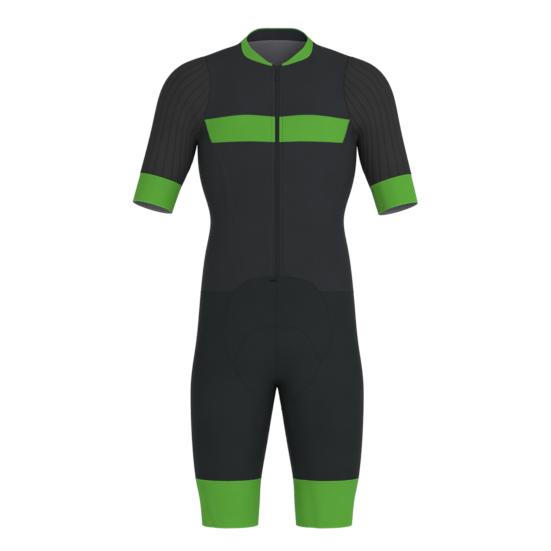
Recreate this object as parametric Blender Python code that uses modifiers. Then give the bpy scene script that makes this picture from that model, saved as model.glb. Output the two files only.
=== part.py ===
"""Cycling skinsuit: a one-piece short-sleeved top and shorts, hollow, in the shape it has when worn.

The suit stands as on a general figure with its arms a little out and forward. +X is the wearer's
left, -Y is the front and +Z is up. The origin is the middle of the body at the height of the base of
the neck, where the shoulders hold the suit up.

One coarse cage of sections is turned into a smooth surface that passes through every section. Seam
lines then part that surface into the pieces that are cut and sewn, and each piece gets a wall.
Tables are in millimetres, and the model is in metres.
"""

import math
from collections import namedtuple

import bmesh
import bpy
from mathutils import Vector
from mathutils.bvhtree import BVHTree

MM = 0.001

# Driving dimensions.
WALL = 1.5 * MM             # stretch knit with its seam tapes
SEAM_GAP = 0.4 * MM         # between two pieces that are sewn together
ZIP_HALF_GAP = 3.7 * MM     # from the middle of the zip to each front's folded edge
TAPE_HALF_WIDTH = 12.0 * MM
TAPE_WALL = 1.0 * MM
TAPE_CLEARANCE = 0.6 * MM
TAPE_END = 1.0 * MM         # the tape's upper end lies this far below the neckline
COIL_INSET = 0.1 * MM
RIB_HEIGHT = 0.9 * MM       # lengthwise ribs of the sleeve fabric
FACING_WALL = 1.0 * MM
HALF_COLUMNS = 12           # cage columns from the middle of the front to the middle of the back
SIDE = 6                    # the column that runs down under the arm
ARMHOLE_COLUMN = 5          # counted from the middle, the column that ends at the armhole
NECK_COLUMN = 3             # and the one that ends at the side of the neck
YOKE_ROWS = 5               # cage rows from the armpit to the shoulder
FIT_ROUNDS = 5
SURFACE_LEVELS = 1
SNAP = 0.12                 # a seam this close to a corner, in edge lengths, passes through it
MITRE = 0.4                 # a sharp corner of a piece draws back by at most 1 / MITRE of its edges
RELAX_ROUNDS = 2
ARM_BEND = 1.5              # above 1, a shift of the arm grows towards the cuff
CENTRE = 1e-5               # points this near the middle plane are put on it
EPSILON = 1e-6
HARD_EDGE = math.radians(40)    # edges sharper than this are shaded sharp
RIB_EDGE = math.radians(10)

# Torso sections from the armpits down to the crotch: half width, and depth to the front and the back.
# square below 1 makes a section fuller than an ellipse.
Section = namedtuple("Section", "z half_width front back square")
TORSO = [
    Section(-199.5, 167.6, 112, 116, 0.86),
    Section(-255, 165.4, 109, 111, 0.86),
    Section(-310, 153.6, 103, 98, 0.86),
    Section(-365, 140.2, 96, 84, 0.88),
    Section(-425, 149.0, 97, 88, 0.88),
    Section(-490, 158.0, 99, 100, 0.86),
    Section(-555, 164.0, 100, 115, 0.86),
    Section(-620, 170.2, 98, 120, 0.86),
    Section(-685, 179.5, 92, 112, 0.86),
]

# Leg sections: the outer and the inner side, and depth to the front and the back.
Leg = namedtuple("Leg", "z outer inner front back square")
LEGS = [
    Leg(-745, 182.0, 6.3, 93, 103, 0.92),
    Leg(-828, 179.0, 19.5, 90, 84, 0.95),
    Leg(-905.7, 170.6, 32.7, 79.7, 66.2, 1.0),
    Leg(-950, 161.5, 36.0, 71, 58, 1.0),
    Leg(-1005.3, 156.6, 39.8, 63.4, 52.6, 1.0),
]
GRIPPER_ROW = 2             # the row of LEGS where the gripper band is sewn on

# The seam between the legs, from the front of the crotch to the back.
Spot = namedtuple("Spot", "x y z")
CROTCH_FRONT = Spot(0, -72, -690)
CROTCH = [Spot(0, -38, -706), Spot(0, 8, -716), Spot(0, 52, -708)]
CROTCH_BACK = Spot(0, 86, -692)

# The upper body between the armpits and the shoulders. Its lines run up the middle of the front and
# the back, up to the side of the neck, and up the armhole.
ARMPIT = [Spot(163, -36, -201), Spot(167.6, 0, -204), Spot(163, 36, -201)]
CENTRE_FRONT = [Spot(0, -109, -168), Spot(0, -101.5, -136), Spot(0, -91, -104), Spot(0, -79, -76)]
CENTRE_BACK = [Spot(0, 118.5, -155), Spot(0, 114, -110), Spot(0, 103, -66), Spot(0, 84, -25)]
ARMHOLE_FRONT = [Spot(150.5, -70, -159), Spot(140.2, -77, -116), Spot(137.2, -66, -80),
                 Spot(143.9, -42, -46.4)]
ARMHOLE_BACK = [Spot(158, 72, -160), Spot(152, 84, -120), Spot(148, 74, -82), Spot(147, 45, -48)]
BELOW_NECK_FRONT = [Spot(108, -95, -155), Spot(98, -92, -113), Spot(90, -77, -72),
                    Spot(84, -47, -32)]
BELOW_NECK_BACK = [Spot(113, 101, -155), Spot(102, 103, -110), Spot(92, 89, -66),
                   Spot(84, 56, -22)]
NECK_FRONT = [Spot(0, -66, -50), Spot(42, -55, -38.6), Spot(69.5, -31, -21)]
NECK_BACK = [Spot(0, 62, 20.5), Spot(35, 56, 19), Spot(62, 38, 14.5)]
SHOULDER = [Spot(74, 5, 11), Spot(112, 8, -5.4), Spot(151, 10, -19.5)]

# Sleeve sections: the outer and the inner point seen from the front, half the depth, the shift of the
# middle towards the back, and how much lower the back of the ring lies than its middle.
Ring = namedtuple("Ring", "outer_x outer_z inner_x inner_z half_depth shift_y drop")
SLEEVE = [
    Ring(190.5, -35.5, 169.5, -209.0, 77, 4, 0),
    Ring(224.0, -60.5, 172.3, -222.5, 66, 2, 1),
    Ring(247.0, -105.0, 177.0, -240.5, 58, 0, 2),
    Ring(262.0, -178.0, 185.5, -262.5, 52, -3, 3),
    Ring(285.7, -268.7, 199.9, -294.6, 45.7, -8.3, 4.2),
    Ring(302.1, -328.0, 219.6, -350.8, 42, -12, 6),
]
CUFF_ROW = 4                # the row of SLEEVE where the cuff is sewn on
LEFT_ARM_IN = 7.4           # the wearer's left cuff hangs this much nearer to the body
LEFT_ARM_DOWN = 3.3         # and this much lower

# Seam lines. Each gives where the seam lies at a height or at a distance from the middle.
AtHeight = namedtuple("AtHeight", "z x")
PRINCESS = [
    AtHeight(100, 600), AtHeight(-120, 180), AtHeight(-158.9, 151.2), AtHeight(-185.5, 142.6),
    AtHeight(-207.7, 134.9), AtHeight(-238, 119.4), AtHeight(-275, 105.9), AtHeight(-347, 91.4),
    AtHeight(-409, 83.1), AtHeight(-454, 79), AtHeight(-520, 78),
]
INSERT_FRONT = [
    AtHeight(-484, 72), AtHeight(-500, 79), AtHeight(-513.9, 86.3), AtHeight(-532, 97.9),
    AtHeight(-563, 106.2), AtHeight(-598, 112.5), AtHeight(-631, 107.1), AtHeight(-662, 90.4),
    AtHeight(-698, 71.4), AtHeight(-726, 47.9), AtHeight(-748, 28), AtHeight(-765, 7),
    AtHeight(-800, -40),
]
INSERT_BACK = [
    AtHeight(-600, -60), AtHeight(-664, 0), AtHeight(-690, 15), AtHeight(-730, 24),
    AtHeight(-755, 15), AtHeight(-765, 7), AtHeight(-800, -40),
]
CROTCH_BLEND = 40           # half the depth over which the front line turns into the back line
AcrossFront = namedtuple("AcrossFront", "x z")
WAIST = [
    AcrossFront(0, -484.1), AcrossFront(24.6, -485.1), AcrossFront(49.2, -489.2),
    AcrossFront(65.7, -494.3), AcrossFront(78.1, -502.5), AcrossFront(86.3, -513.9),
    AcrossFront(96, -516), AcrossFront(150, -516), AcrossFront(220, -516),
]
POUCH = [
    AcrossFront(0, -585.5), AcrossFront(28.7, -586.6), AcrossFront(45.1, -591.8),
    AcrossFront(58.7, -603.3), AcrossFront(72.5, -620), AcrossFront(82, -646.1),
    AcrossFront(90.6, -662.1), AcrossFront(120, -720), AcrossFront(220, -900),
]

# The collar's upper edge, at fractions of the half neckline from the zip to the middle of the back.
Edge = namedtuple("Edge", "along x y z")
COLLAR = [
    Edge(0.0, 4.3, -65.0, -47.2), Edge(0.075, 18.2, -59.5, -40.5), Edge(0.13, 27.8, -54, -33.0),
    Edge(0.21, 41.8, -42.5, -20.3), Edge(0.30, 54, -25, -7.6), Edge(0.415, 61, -6, 5.2),
    Edge(0.54, 64.5, 12, 17.5), Edge(0.635, 60.5, 28, 27.7), Edge(0.72, 52.4, 40, 36.3),
    Edge(0.83, 37, 50, 43.5), Edge(1.0, 0, 57, 45.2),
]
COLLAR_BULGE = 0.8 * MM
COLLAR_GAP = 0.7 * MM       # wider than other seams, because the two walls meet at an angle
FACING_DROP = 0.03          # share of the height by which the facing ends below the collar's edge
FACING_RISE = 0.10          # share of the height by which it starts above the neckline

# Zip furniture, in metres.
SLIDER_SIZE = Vector((6.5, 2.4, 10.0)) * MM
SLIDER_BEVEL = 0.8 * MM
SLIDER_MIDDLE = (0.0, -76 * MM)
STOP_SIZE = Vector((14.0, 0.9, 3.6)) * MM
STOP_BEVEL = 0.3 * MM
STOP_MIDDLE = (-9.0 * MM, -492.5 * MM)
FURNITURE_CLEARANCE = 0.4 * MM

REGIONS = ("front", "back", "sleeve", "cuff", "leg", "gripper")

Finish = namedtuple("Finish", "red green blue roughness")
FINISHES = {
    "black_knit": Finish(0.022, 0.024, 0.026, 0.62),
    "black_shorts": Finish(0.018, 0.021, 0.022, 0.58),
    "sleeve_rib": Finish(0.026, 0.025, 0.024, 0.68),
    "green_knit": Finish(0.10, 0.36, 0.04, 0.60),
    "dark_facing": Finish(0.020, 0.020, 0.024, 0.70),
    "zip_black": Finish(0.012, 0.012, 0.013, 0.45),
}

CLOTH = {"front": "black_knit", "side": "black_knit", "back": "black_knit",
         "sleeve": "sleeve_rib", "cuff": "green_knit", "fly": "black_shorts",
         "gusset": "black_shorts", "leg": "black_shorts", "gripper": "green_knit"}


def point(spot):
    """A table's spot as a point in metres."""
    return Vector((spot.x, spot.y, spot.z)) * MM


def bent(value, power):
    """A sine or cosine raised to a power with its sign kept, which squares an ellipse."""
    return math.copysign(abs(value) ** power, value)


def follow(rows, key, column, at):
    """The value of a column at a key, on a smooth curve through the table's rows."""
    keys = [getattr(row, key) for row in rows]
    values = [getattr(row, column) for row in rows]
    if keys[0] > keys[-1]:
        keys.reverse()
        values.reverse()
    at = min(max(at, keys[0]), keys[-1])
    span = max(i for i in range(len(keys) - 1) if keys[i] <= at)
    slopes = []
    for i in (span, span + 1):
        before = max(i - 1, 0)
        after = min(i + 1, len(keys) - 1)
        slopes.append((values[after] - values[before]) / (keys[after] - keys[before]))
    width = keys[span + 1] - keys[span]
    t = (at - keys[span]) / width
    return ((2 * t ** 3 - 3 * t ** 2 + 1) * values[span] + (t ** 3 - 2 * t ** 2 + t) * width * slopes[0]
            + (3 * t ** 2 - 2 * t ** 3) * values[span + 1] + (t ** 3 - t ** 2) * width * slopes[1])


def smooth_step(low, high, value):
    t = min(max((value - low) / (high - low), 0.0), 1.0)
    return t * t * (3 - 2 * t)


# The cage.

def torso_row(section):
    """Half a torso section, from the middle of the front round to the middle of the back."""
    row = []
    for j in range(HALF_COLUMNS + 1):
        angle = math.pi * j / HALF_COLUMNS
        depth = section.front if j <= SIDE else section.back
        row.append(Vector((section.half_width * bent(math.sin(angle), section.square),
                           -depth * bent(math.cos(angle), section.square), section.z)) * MM)
    row[0].x = row[-1].x = 0.0
    return row


def leg_row(leg, columns):
    """A leg section whose points line up with the torso's columns and then the crotch."""
    middle = (leg.outer + leg.inner) / 2
    half_width = (leg.outer - leg.inner) / 2
    row = []
    for k in range(columns):
        angle = math.pi / 2 + 2 * math.pi * (k - SIDE) / columns
        depth = leg.front if math.cos(angle) > 0 else leg.back
        row.append(Vector((middle + half_width * bent(math.sin(angle), leg.square),
                           -depth * bent(math.cos(angle), leg.square), leg.z)) * MM)
    return row


def sleeve_row(ring, columns):
    """A sleeve section that starts at the outer side and goes over the front."""
    outer = Vector((ring.outer_x, 0, ring.outer_z))
    inner = Vector((ring.inner_x, 0, ring.inner_z))
    row = []
    for m in range(columns):
        angle = 2 * math.pi * m / columns
        spot = (outer + inner) / 2 + (outer - inner) / 2 * math.cos(angle)
        spot.y = ring.shift_y - ring.half_depth * math.sin(angle)
        spot.z += ring.drop * math.sin(angle)
        row.append(spot * MM)
    return row


def patch(bottom, top, left, right):
    """The points inside four edges that share their corners, blended from all four."""
    rows = []
    for r in range(len(left)):
        v = r / (len(left) - 1)
        row = []
        for c in range(len(bottom)):
            u = c / (len(bottom) - 1)
            corners = ((bottom[0] * (1 - u) + bottom[-1] * u) * (1 - v)
                       + (top[0] * (1 - u) + top[-1] * u) * v)
            row.append(bottom[c] * (1 - v) + top[c] * v + left[r] * (1 - u) + right[r] * u - corners)
        rows.append(row)
    return rows


def relaxed(rows):
    """The same points, with those inside the edges drawn halfway to the middle of their neighbours."""
    for _ in range(RELAX_ROUNDS):
        before = [row[:] for row in rows]
        for r in range(1, len(rows) - 1):
            for c in range(1, len(rows[0]) - 1):
                around = before[r - 1][c] + before[r + 1][c] + before[r][c - 1] + before[r][c + 1]
                rows[r][c] = (before[r][c] + around / 4) / 2
    return rows


def half_cage():
    """The cage of the wearer's left half, with each face's region as its material index.

    The layer reach is how far along the sleeve a vertex lies, from 0 at the armhole to 1 at the cuff.
    """
    bm = bmesh.new()
    reach = bm.verts.layers.float.new("reach")

    def row_of(points):
        return [bm.verts.new(p) for p in points]

    def face(corners, region):
        bm.faces.new(corners).material_index = REGIONS.index(region)

    def bands(upper, lower, regions, closed=False):
        count = len(upper) if closed else len(upper) - 1
        for j in range(count):
            k = (j + 1) % len(upper)
            face((upper[j], lower[j], lower[k], upper[k]), regions(j))

    torso_points = [torso_row(section) for section in TORSO]
    for offset, spot in enumerate(ARMPIT):
        torso_points[0][ARMHOLE_COLUMN + offset] = point(spot)
    torso_points[-1][0] = point(CROTCH_FRONT)
    torso_points[-1][-1] = point(CROTCH_BACK)
    torso = [row_of(points) for points in torso_points]
    for upper, lower in zip(torso, torso[1:]):
        bands(upper, lower, lambda j: "front" if j < SIDE else "back")

    above = row_of([point(spot) for spot in SHOULDER])
    neck_front = row_of([point(spot) for spot in NECK_FRONT])
    neck_back = row_of([point(spot) for spot in NECK_BACK])
    armhole = {}
    for region, neck, centre, below_neck, edge, low in (
            ("front", neck_front, CENTRE_FRONT, BELOW_NECK_FRONT, ARMHOLE_FRONT,
             torso[0][:ARMHOLE_COLUMN + 1]),
            ("back", neck_back, CENTRE_BACK, BELOW_NECK_BACK, ARMHOLE_BACK, torso[0][:SIDE:-1])):
        top = neck + above
        lines = [[low[column].co] + [point(spot) for spot in line] + [top[column].co]
                 for column, line in ((0, centre), (NECK_COLUMN, below_neck), (ARMHOLE_COLUMN, edge))]
        ends = [v.co for v in low], [v.co for v in top]
        inner = patch(*(end[:NECK_COLUMN + 1] for end in ends), *lines[:2])
        outer = patch(*(end[NECK_COLUMN:] for end in ends), *lines[1:])
        points = relaxed([near[:-1] + far for near, far in zip(inner, outer)])
        rows = [low] + [row_of(points[r]) for r in range(1, YOKE_ROWS)] + [top]
        for lower, upper in zip(rows, rows[1:]):
            for c in range(ARMHOLE_COLUMN):
                corners = (upper[c], lower[c], lower[c + 1], upper[c + 1])
                face(corners if region == "front" else corners[::-1], region)
        armhole[region] = [rows[r][-1] for r in range(1, YOKE_ROWS)]

    ring = [above[-1]] + armhole["front"][::-1] + torso[0][ARMHOLE_COLUMN:SIDE + 2] + armhole["back"]
    for number, section in enumerate(SLEEVE):
        following = row_of(sleeve_row(section, len(ring)))
        for vertex in following:
            vertex[reach] = (number + 1) / len(SLEEVE)
        bands(ring, following, lambda j: "cuff" if number > CUFF_ROW else "sleeve", closed=True)
        ring = following

    ring = torso[-1] + row_of([point(spot) for spot in CROTCH[::-1]])
    for number, section in enumerate(LEGS):
        following = row_of(leg_row(section, len(ring)))
        bands(ring, following, lambda j: "gripper" if number > GRIPPER_ROW else "leg", closed=True)
        ring = following
    return bm


def fitted_surface():
    """The whole suit's outer surface, smooth, and through every point of the cage."""
    bm = half_cage()
    bmesh.ops.mirror(bm, geom=bm.verts[:] + bm.edges[:] + bm.faces[:], axis="X",
                     merge_dist=EPSILON)
    reach = bm.verts.layers.float["reach"]
    for vertex in bm.verts:
        if vertex.co.x > 0:
            vertex.co.x -= LEFT_ARM_IN * MM * vertex[reach] ** ARM_BEND
            vertex.co.z -= LEFT_ARM_DOWN * MM * vertex[reach] ** ARM_BEND
    bmesh.ops.recalc_face_normals(bm, faces=bm.faces[:])
    mesh = bpy.data.meshes.new("cage")
    bm.to_mesh(mesh)
    bm.free()
    targets = [v.co.copy() for v in mesh.vertices]
    cage = bpy.data.objects.new("cage", mesh)
    bpy.context.scene.collection.objects.link(cage)
    smoother = cage.modifiers.new("smooth", "SUBSURF")
    smoother.levels = smoother.render_levels = SURFACE_LEVELS
    smoother.use_limit_surface = True
    for _ in range(FIT_ROUNDS):
        smooth = evaluated_mesh(cage)
        for vertex, target in zip(mesh.vertices, targets):
            vertex.co += target - smooth.vertices[vertex.index].co
        bpy.data.meshes.remove(smooth)
        mesh.update()
    smooth = evaluated_mesh(cage)
    surface = bmesh.new()
    surface.from_mesh(smooth)
    for vertex in surface.verts:
        if abs(vertex.co.x) < CENTRE:
            vertex.co.x = 0.0
    bpy.data.meshes.remove(smooth)
    bpy.data.objects.remove(cage)
    bpy.data.meshes.remove(mesh)
    surface.normal_update()
    return surface


def evaluated_mesh(obj):
    """A copy of the object's mesh with its modifiers applied."""
    bpy.context.view_layer.update()
    graph = bpy.context.evaluated_depsgraph_get()
    return bpy.data.meshes.new_from_object(obj.evaluated_get(graph))


# Seams, as functions that are zero on the seam.

def beside_zip(p):
    return abs(p.x) - ZIP_HALF_GAP


def below_waist(p):
    height = follow(WAIST, "x", "z", abs(p.x) / MM) if p.y < 0 else WAIST[-1].z
    return height * MM - p.z


def outside_princess(p):
    return abs(p.x) - follow(PRINCESS, "z", "x", p.z / MM) * MM


def outside_insert(p):
    front = follow(INSERT_FRONT, "z", "x", p.z / MM)
    back = follow(INSERT_BACK, "z", "x", p.z / MM)
    share = smooth_step(-CROTCH_BLEND, CROTCH_BLEND, p.y / MM)
    return abs(p.x) - (front + (back - front) * share) * MM


def below_pouch_seam(p):
    return follow(POUCH, "x", "z", abs(p.x) / MM) * MM - p.z


def seam_ends(face, value):
    """The face's corners where the seam enters and leaves it, if it crosses the face."""
    corners = face.verts[:]
    signs = [0 if value[v] == 0 else math.copysign(1, value[v]) for v in corners]
    ends = []
    for i, sign in enumerate(signs):
        if sign != 0:
            continue
        before = next((s for s in (signs[i - k] for k in range(1, len(signs))) if s), 0)
        following = next((s for s in (signs[(i + k) % len(signs)] for k in range(1, len(signs))) if s), 0)
        if before * following < 0 and signs[i - 1] != 0:
            ends.append(corners[i])
    return ends


def cut(bm, faces, seam):
    """Parts the faces along a seam, and gives those before it and those past it."""
    faces = list(faces)
    value = {v: seam(v.co) for f in faces for v in f.verts}
    edges = {e for f in faces for e in f.edges}
    for edge in edges:
        a, b = edge.verts
        if value[a] * value[b] < 0:
            t = value[a] / (value[a] - value[b])
            if min(t, 1 - t) < SNAP:
                value[a if t < 0.5 else b] = 0.0
    for edge in edges:
        a, b = edge.verts
        if value[a] * value[b] < 0:
            t = value[a] / (value[a] - value[b])
            _, middle = bmesh.utils.edge_split(edge, a, t)
            value[middle] = 0.0
    near, far = [], []
    for face in faces:
        ends = seam_ends(face, value)
        halves = [face]
        if len(ends) == 2:
            halves.append(bmesh.utils.face_split(face, ends[0], ends[1])[0])
        for half in halves:
            total = sum(value[v] for v in half.verts) or seam(half.calc_center_median())
            (far if total > 0 else near).append(half)
    return near, far


# Walls.

def edge_shift(edge, face):
    """The direction from the seam's own plane, which halves the fold at the edge, towards the face."""
    a, b = edge.verts
    across = (a.normal + b.normal).cross(b.co - a.co).normalized()
    inward = face.calc_center_median() - (a.co + b.co) / 2
    return across if across.dot(inward) > 0 else -across


def seam_shifts(faces, gap):
    """How far each vertex of a piece draws back from the seams that it shares with other pieces."""
    own = set(faces)
    pulls = {}
    for face in faces:
        for edge in face.edges:
            if len(edge.link_faces) == 2 and sum(f in own for f in edge.link_faces) == 1:
                for vertex in edge.verts:
                    pulls.setdefault(vertex, []).append(edge_shift(edge, face))
    shifts = {}
    for vertex, directions in pulls.items():
        total = sum(directions, Vector())
        length = total.length
        if length < EPSILON:
            continue
        reach = max(min(total.normalized().dot(d) for d in directions), MITRE)
        shifts[vertex] = total / length * (gap / 2 / reach)
    return shifts


def rib_edges(faces):
    """The edges that run round a sleeve, found from face to face, starting at the cuff's seam.

    Those on the armhole are left out, so that the ribs run out there.
    """
    own = set(faces)
    cuff = REGIONS.index("cuff")
    ladder = [(edge, face) for face in faces for edge in face.edges
              if any(other.material_index == cuff for other in edge.link_faces)]
    found = {edge for edge, _ in ladder}
    while ladder:
        edge, face = ladder.pop()
        if len(face.edges) != 4:
            continue
        loop = next(loop for loop in face.loops if loop.edge == edge)
        opposite = loop.link_loop_next.link_loop_next.edge
        if opposite in found:
            continue
        found.add(opposite)
        ladder.extend((opposite, f) for f in opposite.link_faces if f in own and f != face)
    sewn = {REGIONS.index("front"), REGIONS.index("back")}
    return {edge for edge in found if not any(f.material_index in sewn for f in edge.link_faces)}


def wall(name, faces, finish, lift=0.0, thickness=WALL, gap=SEAM_GAP, reshape=None, ribbed=()):
    """A closed wall made from faces of a surface: its outer side lifted, its inner side plain.

    Along an edge the two triangles share the diagonal from the lower outer corner to the higher inner
    one. So the two walls at a seam twist alike and stay clear of each other.
    """
    bm = bmesh.new()
    shifts = seam_shifts(faces, gap)
    outer, inner, ridge = {}, {}, {}
    for vertex in {v for f in faces for v in f.verts}:
        base = vertex.co + shifts.get(vertex, Vector())
        if reshape:
            base = reshape(base)
        outer[vertex] = bm.verts.new(base + vertex.normal * lift)
        inner[vertex] = bm.verts.new(base + vertex.normal * (lift - thickness))
    own_edges = {e for f in faces for e in f.edges}
    for edge in own_edges & set(ribbed):
        a, b = edge.verts
        half_turn = a.normal.angle(b.normal) / 2
        rise = edge.calc_length() / 2 * math.tan(half_turn / 2)
        normal = (a.normal + b.normal).normalized()
        ridge[edge] = bm.verts.new((outer[a].co + outer[b].co) / 2 + normal * (rise + RIB_HEIGHT))
    own = set(faces)
    for face in faces:
        bm.faces.new([inner[v] for v in reversed(face.verts)])
        ring = []
        for loop in face.loops:
            ring.append(outer[loop.vert])
            if loop.edge in ridge:
                ring.append(ridge[loop.edge])
        marks = [i for i, v in enumerate(ring) if v in ridge.values()]
        if len(marks) == 2:
            first, second = marks
            bm.faces.new(ring[first:second + 1])
            bm.faces.new(ring[second:] + ring[:first + 1])
        else:
            bm.faces.new(ring)
        for loop in face.loops:
            if sum(f in own for f in loop.edge.link_faces) > 1:
                continue
            a, b = loop.vert, loop.link_loop_next.vert
            if loop.edge in ridge:
                bm.faces.new((outer[b], ridge[loop.edge], outer[a]))
            side = outer[b], outer[a], inner[a], inner[b]
            lower = 1 if a.co.z < b.co.z else 0
            bm.faces.new((side[lower], side[lower + 1], side[lower + 2]))
            bm.faces.new((side[lower + 2], side[(lower + 3) % 4], side[lower]))
    return add_object(name, bm, finish)


def add_object(name, bm, finish):
    """A named object in the suit's collection, from a bmesh and the name of a finish."""
    mesh = bpy.data.meshes.new(name)
    bm.to_mesh(mesh)
    bm.free()
    mesh.materials.append(material(finish))
    mesh.shade_smooth()
    mesh.set_sharp_from_angle(angle=RIB_EDGE if finish == "sleeve_rib" else HARD_EDGE)
    obj = bpy.data.objects.new(name, mesh)
    bpy.data.collections["cycling_skinsuit"].objects.link(obj)
    return obj


def material(name):
    """A Principled material for one of the finishes."""
    found = bpy.data.materials.get(name)
    if found:
        return found
    finish = FINISHES[name]
    made = bpy.data.materials.new(name)
    made.use_nodes = True
    shader = made.node_tree.nodes["Principled BSDF"]
    shader.inputs["Base Color"].default_value = (finish.red, finish.green, finish.blue, 1)
    shader.inputs["Roughness"].default_value = finish.roughness
    made.diffuse_color = (finish.red, finish.green, finish.blue, 1)
    return made


# Pieces.

def by_region(faces, *regions):
    wanted = {REGIONS.index(region) for region in regions}
    return [f for f in faces if f.material_index in wanted]


def by_side(faces):
    """The faces of the wearer's left half and right half, with the word for each."""
    left = [f for f in faces if f.calc_center_median().x > 0]
    right = [f for f in faces if f.calc_center_median().x < 0]
    return (("left", left), ("right", right))


def cut_pieces(surface):
    """Parts the surface along every seam, and gives the faces of each piece by its name."""
    upper, lower = cut(surface, by_region(surface.faces, "front", "back"), below_waist)
    front, front_sides = cut(surface, by_region(upper, "front"), outside_princess)
    back, back_sides = cut(surface, by_region(upper, "back"), outside_princess)
    strip, front = cut(surface, front, beside_zip)
    insert, legs = cut(surface, lower + by_region(surface.faces, "leg"), outside_insert)
    fly, gusset = cut(surface, insert, below_pouch_seam)
    surface.normal_update()
    pieces = {"back": back, "zip": strip}
    for name, faces in (("front", front), ("side", front_sides + back_sides), ("fly", fly),
                        ("gusset", gusset), ("leg", legs),
                        ("sleeve", by_region(surface.faces, "sleeve")),
                        ("cuff", by_region(surface.faces, "cuff")),
                        ("gripper", by_region(surface.faces, "gripper"))):
        for word, own in by_side(faces):
            pieces[name + "_" + word] = own
    return pieces


def build_cloth(pieces):
    for name, faces in pieces.items():
        if name == "zip":
            continue
        finish = CLOTH[name.split("_")[0]]
        ribbed = rib_edges(faces) if name.startswith("sleeve") else ()
        wall(name, faces, finish, ribbed=ribbed)


def build_zip(strip, tree):
    """The tape behind the two fronts, and the covered coil between their edges."""
    widen = TAPE_HALF_WIDTH / ZIP_HALF_GAP

    def to_tape(p):
        spot, _ = hit_front(tree, p.x * widen, p.z - TAPE_END)
        return spot

    wall("zip_tape", strip, "zip_black", lift=-(WALL + TAPE_CLEARANCE), thickness=TAPE_WALL,
         reshape=to_tape)
    wall("zip_coil", strip, "zip_black", lift=-COIL_INSET, thickness=WALL - COIL_INSET,
         gap=2 * SEAM_GAP)


def hit_front(tree, x, z):
    """The point of the front that lies at x and z, and its outward direction."""
    spot, normal, _, _ = tree.ray_cast(Vector((x, -1.0, z)), Vector((0, 1, 0)))
    return spot, normal


def block_on_front(name, size, bevel, tree, x, z):
    """A box with rounded edges that lies on the front at x and z, facing out."""
    bm = bmesh.new()
    corners = bmesh.ops.create_cube(bm, size=1.0)["verts"]
    bmesh.ops.scale(bm, vec=size, verts=corners)
    bmesh.ops.bevel(bm, geom=bm.edges[:], offset=bevel, segments=2, affect="EDGES", profile=0.5)
    block = add_object(name, bm, "zip_black")
    spot, normal = hit_front(tree, x, z)
    block.rotation_euler = normal.to_track_quat("-Y", "Z").to_euler()
    block.location = spot + normal * (size.y / 2 + FURNITURE_CLEARANCE)


def build_furniture(tree):
    """The zip's slider near the top, and the bar tack that closes its lower end."""
    block_on_front("zip_slider", SLIDER_SIZE, SLIDER_BEVEL, tree, *SLIDER_MIDDLE)
    block_on_front("zip_stop", STOP_SIZE, STOP_BEVEL, tree, *STOP_MIDDLE)


def neckline(strip, surface):
    """The neckline's vertices from the zip's left side round the back to its right side."""
    edges = [e for e in surface.edges if e.is_boundary]
    in_strip = set(strip)
    open_edges = {e for e in edges if not any(f in in_strip for f in e.link_faces)}
    start = next(v for f in strip for v in f.verts if v.is_boundary and v.co.x > EPSILON
                 and any(e in open_edges for e in v.link_edges))
    path = [start]
    edge = next(e for e in start.link_edges if e in open_edges)
    while edge:
        path.append(edge.other_vert(path[-1]))
        edge = next((e for e in path[-1].link_edges if e in open_edges and e != edge), None)
    return path


def collar_surface(neck):
    """The collar's outer surface: rows of its lower edge, middle and upper edge on the neckline.

    Where the collar meets the fronts and back, both share one direction for the thickness of their
    walls, so that the two walls meet in a mitre.
    """
    lengths = [0.0]
    for a, b in zip(neck, neck[1:]):
        lengths.append(lengths[-1] + (b.co - a.co).length)
    half = lengths[-1] / 2
    bm = bmesh.new()
    rows = []
    for vertex, length in zip(neck, lengths):
        p = vertex.co
        along = 1 - abs(length - half) / half
        side = 1 if length < half else -1
        top = Vector((side * follow(COLLAR, "along", "x", along), follow(COLLAR, "along", "y", along),
                      follow(COLLAR, "along", "z", along))) * MM
        base = p + (top - p).normalized() * COLLAR_GAP
        outward = Vector((p.x, p.y, 0)).normalized()
        middle = (base + top) / 2 + outward * COLLAR_BULGE
        rows.append([bm.verts.new(q) for q in (base, middle, top)])
    for this, following in zip(rows, rows[1:]):
        for low, high in ((0, 1), (1, 2)):
            bm.faces.new((this[low], following[low], following[high], this[high]))
    bmesh.ops.triangulate(bm, faces=bm.faces[:])
    bm.normal_update()
    for vertex, (base, _, _) in zip(neck, rows):
        vertex.normal = base.normal = (vertex.normal + base.normal).normalized()
    return bm, rows


def build_collar(bm, rows):
    """The collar band, and the facing inside it, which stops short of the band's low ends."""
    wall("collar", bm.faces[:], "green_knit")
    ends = set(rows[0] + rows[-1])
    for base, _, top in rows:
        height = top.co - base.co
        base.co += height * FACING_RISE
        top.co -= height * FACING_DROP
    wall("collar_facing", [f for f in bm.faces if not ends & set(f.verts)], "dark_facing",
         lift=-(WALL + SEAM_GAP), thickness=FACING_WALL)


def main():
    for old in list(bpy.data.objects):
        bpy.data.objects.remove(old, do_unlink=True)
    collection = bpy.data.collections.new("cycling_skinsuit")
    bpy.context.scene.collection.children.link(collection)

    surface = fitted_surface()
    tree = BVHTree.FromBMesh(surface)
    pieces = cut_pieces(surface)
    collar, collar_rows = collar_surface(neckline(pieces["zip"], surface))
    build_cloth(pieces)
    build_zip(pieces["zip"], tree)
    build_furniture(tree)
    build_collar(collar, collar_rows)
    surface.free()
    collar.free()


main()
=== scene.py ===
"""Cycling skinsuit: the cloth, zip and stitching of a hollow suit in the shape it has when worn.

+X is the wearer's left, -Y is the front and +Z is up. One coarse cage of sections is turned into a
smooth surface that passes through every section, with soft creases. Seam lines part that surface
into the pieces that are cut and sewn, and each piece gets a wall with rounded rims. Stitches and zip
teeth are modelled once and copied along the seams. Tables are in millimetres.
"""

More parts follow.
